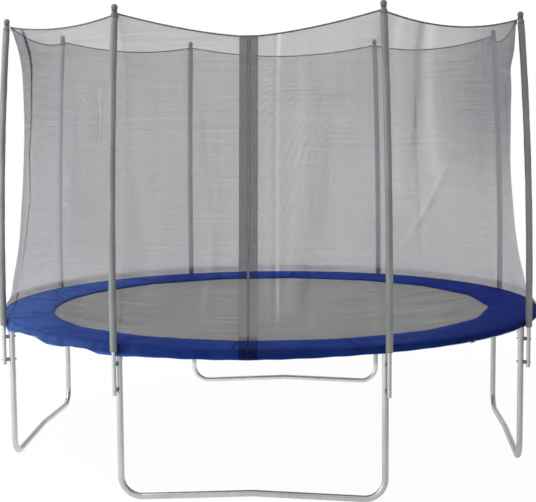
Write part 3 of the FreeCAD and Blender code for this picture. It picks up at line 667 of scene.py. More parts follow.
@dataclass(frozen=True)
class Mesh(Finish):
    """Knitted see-through mesh: two sets of threads with open holes between them.

    The fade fields place the line between threads painted near-black, painted shade, and pale threads:
    its height, less its slope along Y, its curve and its tilt along X.
    """

    # Painted shade: below the fade line the threads take the near-black low colour.
    low: Colour = (0.004, 0.005, 0.012)
    high: Colour = (0.27, 0.27, 0.285)
    # Painted shade at the top left and painted light at the right, on the pale threads.
    left_painted_shade: tuple[float, float] = (0.0, -0.20)
    right_painted_light: tuple[float, float] = (0.26, -0.12)
    seam_tone: float = 0.34
    pitch: float = 0.0034
    thread: float = 0.328
    fade_from: float = 0.984
    fade_to: float = 1.012
    fade_slope: float = 0.22
    fade_curve: float = 0.018
    fade_tilt: float = -0.020
    folds: tuple[float, float, float] = (5.0, 5.0, 0.8)
    rows: tuple[float, float, float] = (1.6, 1.6, 75.0)
    patches: float = 2.2
    rough: float = 0.85
    gloss: float = 0.1

    def surface(self, sheet: NodeSheet) -> Wire:
        """Alpha is 1 on a thread. Threads lie where the sine across or along is under a width.

        The mesh's own value makes them thicker where the cloth is bunched, and long upright and fine level
        noises make the knit uneven. The threads are painted near-black below the fade line, painted shade,
        and are pale above it. At both sides of the net they are paler low down than near the hem: painted
        shade at the top left and painted light at the right. A seam's tape, of the largest value, is darker.
        """
        across, along, _ = sheet.parts(sheet.place("UV"))
        place = sheet.place()
        side, depth, height = sheet.parts(place)
        folds = sheet.noise(sheet.stretched(place, self.folds), 1.0, 2.0)
        rows = sheet.noise(sheet.stretched(place, self.rows), 1.0, 3.0, 0.6)
        patch = sheet.noise(place, self.patches, 2.0)
        knit = (folds - 0.5) * 0.42 + (rows - 0.5) * (patch.ramp(0.35, 0.65) * 1.1 + 0.4)
        width = (sheet.share() + 1.0) * (knit + 1.0) * self.thread
        sewn = sheet.share().ramp(1.2, 1.6) * self.seam_tone
        warp = threads(across, self.pitch) < width
        weft = threads(along, self.pitch) < width
        # Painted shade below the fade line, pale threads above it.
        line = depth * self.fade_slope + side * side * self.fade_curve + side * self.fade_tilt + height
        painted_lit = line.ramp(self.fade_from, self.fade_to)
        top = height.ramp(1.7, 2.6)
        # Painted shade at the top left, and painted light at the right, most of all low down.
        left = (side * -1.0).ramp(0.9, 1.5) * (top * self.left_painted_shade[1] + self.left_painted_shade[0])
        right = side.ramp(-0.5, 0.8) * (top * self.right_painted_light[1] + self.right_painted_light[0])
        twice = tuple(2.0 * part for part in self.high)
        return sheet.surface({
            "Base Color": sheet.mixed(painted_lit * (left + right + 0.5 - sewn), self.low, twice),
            "Roughness": self.rough, "Specular IOR Level": self.gloss, "Alpha": warp.most(weft),
        })


@dataclass(frozen=True)
class DoorCloth(Finish):
    """Close mesh of the door strip: dark, worn pale where people climb in, and lined at its top end.

    Each pair of heights is a ramp: where the foot's tone ends, where the worn part starts and ends, and
    where the lining starts.
    """

    foot: Colour = (0.002, 0.002, 0.003)
    colour: Colour = (0.014, 0.015, 0.017)
    worn: Colour = (0.100, 0.100, 0.100)
    lining: Colour = (0.165, 0.166, 0.168)
    pitch: float = 0.0021
    thread: float = 0.60
    filled: float = 0.7
    foot_end: tuple[float, float] = (0.98, 0.995)
    worn_start: tuple[float, float] = (0.985, 1.0)
    worn_end: tuple[float, float] = (1.305, 1.32)
    lining_start: tuple[float, float] = (2.46, 2.54)
    lining_fill: float = 0.93
    rough: float = 0.85
    gloss: float = 0.1

    def surface(self, sheet: NodeSheet) -> Wire:
        """Tones by height. Alpha is mostly the threads' share of the cloth, and partly the threads."""
        across, along, _ = sheet.parts(sheet.place("UV"))
        _, _, height = sheet.parts(sheet.place())
        knit = (threads(across, self.pitch) < self.thread).most(threads(along, self.pitch) < self.thread)
        covered = 1.0 - (1.0 - math.asin(self.thread) * 2.0 / math.pi) ** 2
        lined = height.ramp(*self.lining_start)
        worn = height.ramp(*self.worn_start) * (1.0 - height.ramp(*self.worn_end))
        colour = sheet.mixed(height.ramp(*self.foot_end), self.foot, self.colour)
        colour = sheet.mixed(worn, colour, self.worn)
        return sheet.surface({
            "Base Color": sheet.mixed((lined - 0.65) * 2.86, colour, self.lining),
            "Roughness": self.rough, "Specular IOR Level": self.gloss,
            "Alpha": (knit * (1.0 - self.filled) + self.filled * covered).most(lined * self.lining_fill),
        })


@dataclass(frozen=True)
class Braid(Finish):
    """Braided or woven cord and strap: slanted ribs and single stitches."""

    colour: Colour = (0.055, 0.055, 0.06)
    lighter: Colour = (0.11, 0.11, 0.115)
    pitch: float = 0.0022
    clouds: float = 30.0
    rough: float = 0.78
    gloss: float = 0.3
    relief: tuple[float, float] = (0.5, 0.0006)

    def surface(self, sheet: NodeSheet) -> Wire:
        """Ribs run both ways on a slant: the product of the sines of u + v and u - v."""
        across, along, _ = sheet.parts(sheet.place("UV"))
        ribs = plain_weave(across + along, across - along, self.pitch)
        cloud = sheet.noise(sheet.place(), self.clouds)
        return sheet.surface({
            "Base Color": sheet.mixed(ribs * 0.7 + cloud * 0.3, self.colour, self.lighter),
            "Roughness": self.rough, "Specular IOR Level": self.gloss,
            "Normal": sheet.bump(ribs, *self.relief),
        })


@dataclass(frozen=True)
class MatWeave(Finish):
    """Woven polypropylene of the jumping mat: flat tapes, faint bands and dust."""

    colour: Colour = (0.385, 0.387, 0.382)
    dusty: Colour = (0.450, 0.452, 0.445)
    pitch: float = 0.004
    bands: tuple[float, float, float] = (26.0, 0.5, 1.0)
    clouds: float = 1.6
    rough: float = 0.6
    gloss: float = 0.15
    relief: tuple[float, float] = (0.35, 0.0008)

    def surface(self, sheet: NodeSheet) -> Wire:
        """Plain weave by plan position, with bands a few centimetres wide from the loom."""
        place = sheet.place()
        across, along, _ = sheet.parts(place)
        weave = plain_weave(across, along, self.pitch)
        bands = sheet.noise(sheet.stretched(place, self.bands), 1.0, 3.0)
        dust = sheet.noise(place, self.clouds, 5.0)
        tone = bands * 0.45 + dust * 0.45 + weave * 0.12
        return sheet.surface({
            "Base Color": sheet.mixed(tone.ramp(0.2, 0.85), self.colour, self.dusty),
            "Roughness": dust * 0.15 + self.rough, "Specular IOR Level": self.gloss,
            "Normal": sheet.bump(weave + bands * 0.6, *self.relief),
        })


@dataclass(frozen=True)
class PadCover(Finish):
    """Blue coated cloth of the spring pad and its skirt."""

    colour: Colour = (0.012, 0.046, 0.310)
    rubbed: Colour = (0.030, 0.078, 0.400)
    # Painted shade in the pad's seam grooves; on the skirt, a darker sewn line above its hem.
    seam_shade_and_hem_line: Colour = (0.006, 0.020, 0.14)
    # Painted light: the paler colour in patches towards -X. Painted shade: the shaded colour towards +X.
    painted_lit: Colour = (0.070, 0.158, 0.535)
    shaded: Colour = (0.0, 0.012, 0.225)
    sun_from: float = 0.8
    sun_to: float = 1.75
    shade: tuple[float, float] = (0.7, 1.6)
    pitch: float = 0.0018
    clouds: float = 2.3
    creases: float = 11.0
    fine: float = 45.0
    rough: float = 0.5
    gloss: float = 0.02
    relief: tuple[float, float] = (0.4, 0.0014)

    def surface(self, sheet: NodeSheet) -> Wire:
        """Weave through the coating, soft creases, rubbing, and darker seams by the mesh's own value,
        painted shade in the pad's seam grooves.

        The side towards -X, where the light comes from, is painted paler in patches, painted light, and
        the other side is painted a deeper blue, painted shade.
        """
        place = sheet.place()
        side, _, _ = sheet.parts(place)
        across, along, _ = sheet.parts(sheet.place("UV"))
        weave = plain_weave(across, along, self.pitch)
        creases = sheet.noise(place, self.creases, 5.0, 0.6)
        rub = sheet.noise(place, self.clouds, 3.0)
        fine = sheet.noise(place, self.fine, 3.0)
        colour = sheet.mixed((rub * 0.6 + creases * 0.5).ramp(0.35, 0.8), self.colour, self.rubbed)
        # Painted light in patches towards -X, and painted shade towards +X.
        patchy = rub * 0.5 + creases.ramp(0.3, 0.7) * 0.6 + 0.35
        sunny = (side * -1.0).ramp(self.sun_from, self.sun_to) * patchy
        colour = sheet.mixed(sunny, colour, self.painted_lit)
        colour = sheet.mixed(side.ramp(*self.shade) * 0.75, colour, self.shaded)
        return sheet.surface({
            # The mesh's own value darkens the seams: painted shade in the pad's seam grooves.
            "Base Color": sheet.mixed(sheet.share(), colour, self.seam_shade_and_hem_line),
            "Roughness": fine * 0.16 + self.rough, "Specular IOR Level": self.gloss,
            "Normal": sheet.bump(creases * 3.0 + fine * 0.6 + weave * 0.12, *self.relief),
        })


@dataclass(frozen=True)
class WovenTape(Finish):
    """Flat woven tape or webbing."""

    colour: Colour = (0.03, 0.03, 0.032)
    lighter: Colour = (0.075, 0.075, 0.08)
    pitch: float = 0.0015
    soiled: float = 0.0
    filled: float = 1.0
    soil: Colour = (0.008, 0.014, 0.045)
    clouds: float = 20.0
    rough: float = 0.8
    gloss: float = 0.3
    relief: tuple[float, float] = (0.5, 0.0005)

    def surface(self, sheet: NodeSheet) -> Wire:
        """Plain weave by the map, with clouds. Below the soiled height the tape is dark."""
        across, along, _ = sheet.parts(sheet.place("UV"))
        weave = plain_weave(across, along, self.pitch)
        cloud = sheet.noise(sheet.place(), self.clouds)
        _, _, height = sheet.parts(sheet.place())
        tone = sheet.mixed(weave * 0.6 + cloud * 0.4, self.colour, self.lighter)
        return sheet.surface({
            "Base Color": sheet.mixed(height.ramp(self.soiled - 0.02, self.soiled), self.soil, tone),
            "Roughness": self.rough, "Specular IOR Level": self.gloss,
            "Normal": sheet.bump(weave, *self.relief), "Alpha": self.filled,
        })


TUBE_STEEL = Galvanised("galvanised tube")
# Painted light: a paler copy of the tube's finish for the back leg bars, which sit in the mat's shade.
PAINTED_LIT_BACK_STEEL = Galvanised("bright galvanised tube", (0.78, 0.79, 0.795), (0.58, 0.59, 0.60))
ZINC_SCREWS = Galvanised("zinc fasteners", (0.62, 0.62, 0.6), (0.45, 0.45, 0.44), 400.0, (200.0,) * 3)
SPRING_WIRE = Galvanised("spring wire", (0.62, 0.62, 0.61), (0.42, 0.42, 0.42), 700.0, (300.0,) * 3)
ZIP_NICKEL = Galvanised("zip nickel", (0.18, 0.18, 0.185), (0.12, 0.12, 0.125), 900.0, (400.0,) * 3, 0.3)
ZIP_TEETH = Galvanised("zip teeth", (0.20, 0.20, 0.205), (0.14, 0.14, 0.145), 900.0, (400.0,) * 3, 0.2)
CAP_PLASTIC = Plastic("cap plastic", (0.125, 0.132, 0.134), 0.38)
SPACER_PLASTIC = Plastic("spacer plastic", (0.13, 0.125, 0.125), 0.5)
SLEEVE_COVER = SleeveCover("sleeve cover")
# Painted light: paler copies of the sleeve cover for the back poles, palest for the two at the sides.
PAINTED_LIT_BACK_SLEEVE = SleeveCover("back sleeve cover", (0.27, 0.285, 0.285), (0.34, 0.35, 0.352))
PAINTED_LIT_SIDE_SLEEVE = SleeveCover("faded sleeve cover", (0.40, 0.41, 0.41), (0.47, 0.48, 0.482))
NET_MESH = Mesh("net mesh")
DOOR_CLOTH = DoorCloth("door cloth")
HEM_BRAID = Braid("hem cord", (0.10, 0.085, 0.085), (0.18, 0.16, 0.16))
TIE_ELASTIC = Braid("elastic tie", (0.26, 0.26, 0.27), (0.36, 0.36, 0.37), 0.0016)
MAT_WEAVE = MatWeave("mat weave")
MAT_EDGE = WovenTape("mat webbing", (0.05, 0.05, 0.052), (0.1, 0.1, 0.105), 0.003)
ZIP_TAPE = WovenTape("zip tape", (0.135, 0.135, 0.137), (0.175, 0.175, 0.177), soiled=1.0, filled=0.5)
PAD_BLUE = PadCover("pad cover")
# The skirt's paler colour, and its earlier start towards -X, are painted light too.
SKIRT_BLUE = PadCover(
    "skirt cover", (0.008, 0.041, 0.29), (0.022, 0.072, 0.39), painted_lit=(0.10, 0.20, 0.57), sun_from=0.3
)
PAD_BINDING = Braid("pad binding", (0.013, 0.040, 0.24), (0.032, 0.076, 0.34), 0.002)


# Shared sizes


@dataclass(frozen=True)
class Layout:
    """Sizes that several sub-assemblies share with the CAD part."""

    ring_radius: float = 1.811
    ring_height: float = 0.890
    tube_radius: float = 0.019
    leg_half_angle: float = 25.0
    net_foot_radius: float = 1.8392
    net_foot_bottom: float = 0.866
    door_half_width: float = 0.053
    door_top: float = 2.659
    door_top_radius: float = 1.585
    door_foot: float = 0.930

    def leg_angles(self) -> list[float]:
        """Plan angles of the eight legs and poles."""
        half = self.leg_half_angle
        return [side + step for side in (0.0, 90.0, 180.0, 270.0) for step in (-half, half)]

    def door_radius(self, height: Any) -> Array:
        """Plan radius of the door's line: straight from the hem down to the pad's edge, then upright."""
        rise = np.clip(np.asarray(height, float) - self.door_foot, 0.0, None)
        share = rise / (self.door_top - self.door_foot)
        return self.net_foot_radius + (self.door_top_radius - self.net_foot_radius) * share

    def door_line(self, heights: Array, offset: float) -> Array:
        """Points on the door's middle line, set outward by an offset."""
        return joined(0.0, -(self.door_radius(heights) + offset), heights)


LAYOUT = Layout()

# Height of the skirt's lower edge by plan angle, measured on the photograph's visible side
SKIRT_ANGLES = (
    0, 20, 60, 120, 175, 198, 205.5, 210, 216, 222, 226, 231,
    234, 238, 240.5, 244, 252, 270, 288, 308.5, 323.3, 332, 339, 360,
)
SKIRT_EDGES = (
    0.884, 0.875, 0.872, 0.870, 0.868, 0.855, 0.839, 0.858, 0.880, 0.881, 0.856, 0.857,
    0.872, 0.868, 0.850, 0.848, 0.859, 0.862, 0.872, 0.879, 0.882, 0.885, 0.886, 0.884,
)


def skirt_edge(angle: Any) -> Array:
    """Height of the skirt's lower edge: the table's value at a plan angle."""
    return np.interp(np.asarray(angle, float) % 360.0, SKIRT_ANGLES, SKIRT_EDGES)


# Sub-assemblies


@dataclass
class SteelWork:
    """Ring, legs and small metal parts: CAD nodes with their finishes, and the sockets' weld beads."""

    nodes: dict[str, Any]
    bead_radius: float = 0.0022
    socket_radius: float = 0.0212
    bead_steps: int = 96
    finishes: tuple[tuple[Finish, tuple[str, ...]], ...] = (
        (TUBE_STEEL, ("frame_rail_", "leg_base_", "leg_upright_", "pole_upper_", "pole_lower_tubes")),
        # The back leg bars take the paler copy of the tube's finish, painted light.
        (PAINTED_LIT_BACK_STEEL, ("leg_base_back",)),
        (ZINC_SCREWS, ("leg_screws", "pole_bolts", "pole_nuts")),
        (CAP_PLASTIC, ("pole_caps",)),
        (SPACER_PLASTIC, ("pole_spacers",)),
        (ZIP_NICKEL, ("zip_slider", "zip_pull")),
    )

    def dress(self) -> None:
        """Gives every CAD node that stays its material, by the start of its name; a later entry wins."""
        for finish, starts in self.finishes:
            for name, node in self.nodes.items():
                if name.startswith(starts):
                    node.data.materials.clear()
                    node.data.materials.append(finish.material())

    def weld_beads(self) -> None:
        """Beads where the sockets meet the ring.

        A bead's line is the socket's circle, raised to where the ring's round side meets it: the ring's
        height less the root of tube radius squared minus radial offset squared. Two waves round it change
        its thickness.
        """
        turns = full_turn(self.bead_steps)
        inward = self.socket_radius * np.cos(turns)
        drop = np.sqrt(np.clip(LAYOUT.tube_radius**2 - inward**2, 0.0, None))
        ripple = 1.0 + 0.16 * np.sin(turns * 26.0) + 0.1 * np.sin(turns * 11.0 + 0.6)
        profile = ring_profile(self.bead_radius, 8)[None] * ripple[:, None, None]
        sideways = self.socket_radius * np.sin(turns)
        path = joined(LAYOUT.ring_radius + inward, sideways, LAYOUT.ring_height - drop)
        shell = Shell()
        for angle in LAYOUT.leg_angles():
            shell.rod(path, profile, ALONG_Z, closed=True, turn=angle)
        keep(shell.build("socket_welds", TUBE_STEEL.material()), Slot.TUBE)


@dataclass
class PoleSleeves:
    """Foam sleeves on the eight net poles."""

    ring_radius: float = 1.8615
    bend_start: float = 1.000
    bend_radius: float = 21.2
    bottom: float = 0.880
    top: float = 2.7748
    radius: float = 0.0208
    end_length: float = 0.006
    sides: int = 36
    steps: int = 150

    def axis(self, heights: Array) -> Array:
        """A pole's middle line in the XZ plane: upright, then an arc that leans inward."""
        rise = np.clip(heights - self.bend_start, 0.0, None)
        offset = self.bend_radius - np.sqrt(self.bend_radius**2 - rise**2)
        return joined(self.ring_radius - offset, 0.0, heights)

    def profiles(self, heights: Array, order: int) -> Array:
        """Round profiles with soft dents, a raised seam and drawn-in ends.

        The radius is the sleeve's, plus three slow waves along and around it and a bell at the seam, times
        an end factor that falls over the end's length.

        Args:
            heights: The rows' heights.
            order: The pole's number, which shifts the waves.

        Returns:
            (rows, sides, 2) profiles.
        """
        z, a = heights[:, None], full_turn(self.sides)[None]
        waves = 0.00045 * np.sin(z * 17.0 + 2.0 * a + order) + 0.0003 * np.sin(z * 41.0 - a + 2.0 * order)
        waves = waves + 0.00025 * np.sin(z * 90.0 + 3.0 * a + order * 0.7)
        seam = 0.0006 * np.exp(-((np.angle(np.exp(1j * a)) / 0.09) ** 2))
        ends = np.minimum(z - self.bottom, self.top - z)
        rounded = 1.0 - 0.14 * (1.0 - eased(ends, 0.0, self.end_length))
        radius = (self.radius + waves + seam) * rounded
        return joined(radius * np.cos(a), radius * np.sin(a))

    @staticmethod
    def finish(angle: float) -> Finish:
        """The sleeve's cover: the back ones paler, painted light, most of all the two at the sides."""
        back = math.sin(math.radians(angle))
        if back < 0.0:
            return SLEEVE_COVER
        return PAINTED_LIT_SIDE_SLEEVE if back < 0.6 else PAINTED_LIT_BACK_SLEEVE

    def build(self) -> None:
        """Makes one padded sleeve for each pole."""
        low, high = self.bottom + self.end_length, self.top - self.end_length
        heights = np.concatenate([
            np.linspace(self.bottom, low, 5)[:-1], np.linspace(low, high, self.steps),
            np.linspace(high, self.top, 5)[1:],
        ])
        for order, angle in enumerate(LAYOUT.leg_angles()):
            shell = Shell()
            shell.rod(self.axis(heights), self.profiles(heights, order), ALONG_Y, turn=angle)
            sleeve = shell.build(f"pole_sleeve_{order + 1}", self.finish(angle).material())
            keep(sleeve, Slot.SLEEVE, "pole_sleeves")


@dataclass
class JumpingBed:
    """Mat, its folded edge webbing, the wire rings and the springs, in sectors."""

    sectors: int = 18
    springs: int = 72
    radius: float = 1.625
    top: float = 0.8993
    landing_radius: float = 1.478
    webbing: float = 0.0016
    webbing_inside: float = 0.040
    webbing_under: float = 0.025
    webbing_bend: float = 0.004
    spring_height: float = 0.895
    ring_apex: float = 1.657
    ring_base: float = 1.613
    ring_half_width: float = 0.026
    ring_corner: float = 0.005
    eye_reach: float = 0.0041
    wire: float = 0.002
    coil_start: float = 1.675
    coil_end: float = 1.778
    coil_radius: float = 0.0094
    coil_wire: float = 0.0016
    coil_turns: int = 26
    bend_from: float = 1.770
    bend_to: float = 0.300

    def hold(self, piece: Any, middle: float, slot: Slot, *nodes: str) -> None:
        """Hides the CAD nodes that a sector's piece stands for and bakes the piece's placement into its
        mesh.

        Args:
            piece: The sector's mat, webbing or springs.
            middle: Plan angle of the sector's middle. Not used.
            slot: Its material slot. Not used.
            nodes: The CAD nodes that it stands for.
        """
        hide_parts(*nodes)
        start = tuple(polar(self.bend_from, middle, self.spring_height))
        end = tuple(polar(self.bend_to, middle, self.spring_height))
        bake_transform(piece)

    def mat_sector(self, number: int, angles: Array) -> Any:
        """One wedge of the mat's cloth, with the sewn ring pressed in.

        Args:
            number: The sector's number, from 1.
            angles: Plan angles of its columns.

        Returns:
            The piece.
        """
        seam = self.landing_radius
        radii = np.concatenate([
            np.linspace(0.0, seam - 0.01, 40), [seam, seam + 0.0006, seam + 0.0014, seam + 0.002],
            np.linspace(seam + 0.02, self.radius, 6),
        ])
        pressed = np.where(np.abs(radii - seam - 0.001) < 0.0006, 0.0006, 0.0)
        shell = Shell()
        shell.grid(polar(radii[:, None], angles[None], (self.top - pressed)[:, None]))
        return shell.build(f"mat_sector_{number}", MAT_WEAVE.material(), merge=True)

    def webbing_sector(self, number: int, angles: Array) -> Any:
        """Webbing folded round the mat's edge: a folded strip's outline swept round the sector.

        Args:
            number: The sector's number, from 1.
            angles: Plan angles of its columns.

        Returns:
            The piece.
        """
        thick, bend = self.webbing, self.webbing_bend
        inner, lip = self.radius - self.webbing_inside, self.radius - self.webbing_under
        rim = self.radius + 0.0026 - bend
        top, low = self.top + thick, self.spring_height - 0.0040
        middle, half = 0.5 * (top + low), 0.5 * (top - low)
        turns = np.radians(np.linspace(90.0, -90.0, 9))
        fold = joined(rim + bend * np.cos(turns), middle + half * np.sin(turns))
        back = joined(rim + (bend - thick) * np.cos(turns), middle + (half - thick) * np.sin(turns))
        outline = np.concatenate([
            [(inner, top)], fold, [(lip, low), (lip, low + thick)], back[::-1], [(inner, top - 0.0014)],
        ])
        across = run_lengths(np.vstack([outline, outline[:1]]))[:, None]
        points = polar(outline[:, :1], angles[None], outline[:, 1:])
        shell = Shell()
        shell.grid(points, closed_rows=True, uv=joined(across, np.radians(angles)[None] * self.radius))
        return shell.build(f"mat_edge_{number}", MAT_EDGE.material())

    def wire_ring(self) -> Array:
        """Middle line of a flat triangular wire ring round the X axis, with its three corners rounded."""
        corners = np.array([
            (self.ring_base, -self.ring_half_width), (self.ring_base, self.ring_half_width),
            (self.ring_apex, 0.0),
        ])
        reach = np.linspace(0.0, self.ring_corner, 4)[:, None]
        towards = unit(np.roll(corners, 1, axis=0) - corners)[:, None] * reach[::-1]
        away = unit(np.roll(corners, -1, axis=0) - corners)[:, None] * reach
        line = (corners[:, None] + towards + away).reshape(-1, 2)
        return joined(line[:, 0], line[:, 1], self.spring_height)

    def spring_lines(self) -> list[tuple[Array, tuple[float, float, float]]]:
        """Middle lines of one spring's wire: the coil, its eye, its rod and its hook, each with a reference.

        The coil is a helix about the X axis whose radius falls to an eighth over the first and last turn.

        Returns:
            Each line's points and a direction that is never along it.
        """
        z, start, end = self.spring_height, self.coil_start, self.coil_end
        turns = np.linspace(0.0, 2.0 * np.pi * self.coil_turns, self.coil_turns * 8 + 1)
        share = turns / turns[-1]
        turns_in = self.coil_turns * np.minimum(share, 1.0 - share)
        radius = self.coil_radius * (0.12 + 0.88 * eased(turns_in, 0.0, 1.2))
        along = start - 0.004 + (end - start + 0.008) * share
        coil = joined(along, radius * np.cos(turns), z + radius * np.sin(turns))
        bend = np.radians(np.linspace(0.0, 180.0, 9))
        eye_end = self.ring_apex + self.eye_reach
        eye_radius = 1.5 * self.eye_reach
        eye = joined(eye_end - eye_radius + eye_radius * np.cos(bend), 0.0, z + eye_radius * np.sin(bend))
        rod = np.array([(eye_end, 0.0, z), (start - 0.002, 0.001, z)])
        hook = np.array([(end + 0.002, 0.001, z), (end + 0.012, 0.0, z), (end + 0.0185, 0.0, z)])
        return [(coil, ALONG_X), (eye, ALONG_Y), (rod, ALONG_Z), (hook, ALONG_Z)]

    def spring_sector(self, number: int, angles: list[float]) -> Any:
        """The springs and wire rings of one sector.

        Args:
            number: The sector's number, from 1.
            angles: Plan angles of its springs.

        Returns:
            The piece.
        """
        shell = Shell()
        ring = self.wire_ring()
        for angle in angles:
            shell.rod(ring, ring_profile(self.wire, 6), ALONG_Z, closed=True, turn=angle)
            for line, reference in self.spring_lines():
                shell.rod(line, ring_profile(self.coil_wire, 5), reference, turn=angle)
        return shell.build(f"springs_{number}", SPRING_WIRE.material())

    def build(self) -> None:
        step = 360.0 / self.sectors
        pitch = 360.0 / self.springs
        for number in range(self.sectors):
            start = step * number
            angles = np.linspace(start, start + step, 11)
            middle = start + 0.5 * step
            at = [start + pitch * (k + 0.5) for k in range(round(step / pitch))]
            mat = self.mat_sector(number + 1, angles)
            edge = self.webbing_sector(number + 1, angles)
            springs = self.spring_sector(number + 1, at)
            self.hold(mat, middle, Slot.MAT, "mat")
            self.hold(edge, middle, Slot.WEBBING, "mat_webbing")
            self.hold(springs, middle, Slot.SPRING, "springs", "mat_rings")


@dataclass
class SpringPad:
    """Blue pad over the springs and the skirt that hangs from it."""

    inner: float = 1.490
    outer: float = 1.8325
    under_radii: tuple[float, ...] = (1.485, 1.580, 1.640, 1.700, 1.790, 1.8325)
    under_heights: tuple[float, ...] = (0.9008, 0.9020, 0.9075, 0.9085, 0.9098, 0.9110)
    sections: int = 16
    first_seam: float = 19.7
    columns: int = 48
    section_points: int = 44
    roundness: float = 5.0
    swell_limit: float = 0.007
    skirt_radius: float = 1.8356
    skirt_top: float = 0.9185
    skirt_cut: float = 0.060
    skirt_drop: float = 0.055
    outline: float = 0.72
    map_radius: float = 1.66
    top_radii: tuple[float, ...] = (1.460, 1.520, 1.580, 1.650, 1.740, 1.800, 1.8335)
    top_heights: tuple[float, ...] = (0.9225, 0.9290, 0.9335, 0.9360, 0.9355, 0.9335, 0.9290)
    swelling: tuple[tuple[str, Any], ...] = (
        ("quality", 5), ("mass", 0.3), ("tension_stiffness", 12.0), ("compression_stiffness", 12.0),
        ("bending_stiffness", 0.4), ("use_pressure", True), ("uniform_pressure_force", 4.0),
        ("vertex_group_mass", "held"),
    )

    def seam_distance(self, angles: Array) -> Array:
        """Signed share from the nearest seam, from -0.5 to 0.5 of a section."""
        step = 360.0 / self.sections
        return (angles - self.first_seam) / step - np.round((angles - self.first_seam) / step)

    def inner_radius(self, angles: Array) -> Array:
        """Radius of the sixteen-sided inner edge: mid-edge radius over the cosine from the side's middle.

        At the left the edge has been pulled round, so the radius goes over to the sides' mean there.
        """
        step = 360.0 / self.sections
        off_middle = (0.5 - np.abs(self.seam_distance(angles))) * step
        rounded = eased(-np.cos(np.radians(angles)), 0.72, 0.92)
        off_middle = off_middle * (1.0 - rounded) + 0.29 * step * rounded
        turn = np.radians(angles)
        wobble = 0.0016 * np.sin(turn * 37.0) + 0.0012 * np.sin(turn * 71.0 + 1.0)
        return self.inner / np.cos(np.radians(off_middle)) + wobble

    def section(self) -> tuple[Array, Array]:
        """Superellipse outline of the pad's section, at even spacing.

        Returns:
            The points' places across and up, each from -1 to 1.
        """
        turns = np.linspace(0.0, 2.0 * np.pi, 4001)
        power = 2.0 / self.roundness
        across = np.sign(np.cos(turns)) * np.abs(np.cos(turns)) ** power
        rise = np.sign(np.sin(turns)) * np.abs(np.sin(turns)) ** power
        spread = run_lengths(joined(across * 0.171, rise * 0.03))
        even = np.linspace(0.0, spread[-1], self.section_points, endpoint=False)
        return np.interp(even, spread, across), np.interp(even, spread, rise)

    def surface(self) -> tuple[Array, Array, Array]:
        """Surface of the pad, in sections at even plan angles.

        A point's radius runs from the inner to the outer edge with the section's across value. Its height
        is the bottom's plus half of one plus rise, times the thickness there, which dips at the seams and
        puckers beside them.

        Returns:
            The points, their seam value, and the sections' angles.
        """
        angles = np.linspace(0.0, 360.0, self.sections * self.columns, endpoint=False) + self.first_seam
        across, rise = self.section()
        low = self.inner_radius(angles)[:, None]
        radius = low + (self.outer - low) * 0.5 * (1.0 + across[None])
        off = np.abs(self.seam_distance(angles))[:, None] * math.radians(360.0 / self.sections) * radius
        under = np.interp(radius, self.under_radii, self.under_heights)
        thick = np.interp(radius, self.top_radii, self.top_heights) - under - 0.0015
        dip = 1.0 - 0.34 * np.exp(-((off / 0.007) ** 2))
        pucker = 0.0016 * np.exp(-off / 0.035) * np.sin(radius * 210.0 + np.sin(angles[:, None] * 0.7) * 2.0)
        height = under + 0.5 * (1.0 + rise[None]) * (thick * dip + pucker)
        # This value also darkens the cover along the seams, painted shade in their grooves.
        seam = np.clip(1.2 * np.exp(-((off / 0.005) ** 2)), 0.0, 1.0) * (rise[None] > -0.2)
        return polar(radius, angles[:, None], height), seam, angles

    def build_pad(self) -> None:
        """Makes the pad, swells it as cloth under pressure and smooths it."""
        points, seam, angles = self.surface()
        across = np.arange(self.section_points + 1) * (self.outline / self.section_points)
        along = np.radians(np.append(angles, angles[0] + 360.0)) * self.map_radius
        uv = joined(across[None], along[:, None])
        shell = Shell()
        shell.grid(points, closed_rows=True, closed_columns=True, uv=uv, value=seam, flipped=True)
        pad = shell.build("spring_pad", PAD_BLUE.material(), crease=80.0)
        under = np.interp(np.hypot(points[..., 0], points[..., 1]), self.under_radii, self.under_heights)
        held = (points[..., 2] < under + 0.002) | (seam > 0.5)
        self.swell(pad, held.ravel())
        smooth = pad.modifiers.new("smooth", "SUBSURF")
        smooth.levels = 1
        smooth.render_levels = 1
        keep(pad, Slot.PAD, "safety_pad")

    def swell(self, pad: Any, held: Array) -> None:
        """Runs Cloth with pressure for twenty frames and moves each point so, but not past the limit.

        Args:
            pad: The pad, which gets its new shape in its mesh.
            held: Whether each point stays where it is.
        """
        rest = np.zeros(len(pad.data.vertices) * 3, np.float32)
        pad.data.vertices.foreach_get("co", rest)
        group = pad.vertex_groups.new(name="held")
        group.add(np.flatnonzero(held).tolist(), 1.0, "REPLACE")
        cloth = pad.modifiers.new("swell", "CLOTH")
        for name, value in self.swelling:
            setattr(cloth.settings, name, value)
        cloth.settings.effector_weights.gravity = 0.0
        cloth.collision_settings.use_collision = False
        scene = bpy.context.scene
        for frame_number in range(1, 21):
            scene.frame_set(frame_number)
        found = pad.evaluated_get(bpy.context.evaluated_depsgraph_get())
        moved = np.zeros(len(rest), np.float32)
        found.data.vertices.foreach_get("co", moved)
        step = (moved - rest).reshape(-1, 3)
        length = np.linalg.norm(step, axis=1, keepdims=True)
        step *= np.minimum(1.0, self.swell_limit / np.maximum(length, 1e-9))
        pad.modifiers.remove(cloth)
        scene.frame_set(1)
        pad.data.vertices.foreach_set("co", (rest.reshape(-1, 3) + step).ravel())
        pad.data.update()
        LOG.info("pad swelled by up to %.1f mm", 1000.0 * float(np.abs(step).max()))

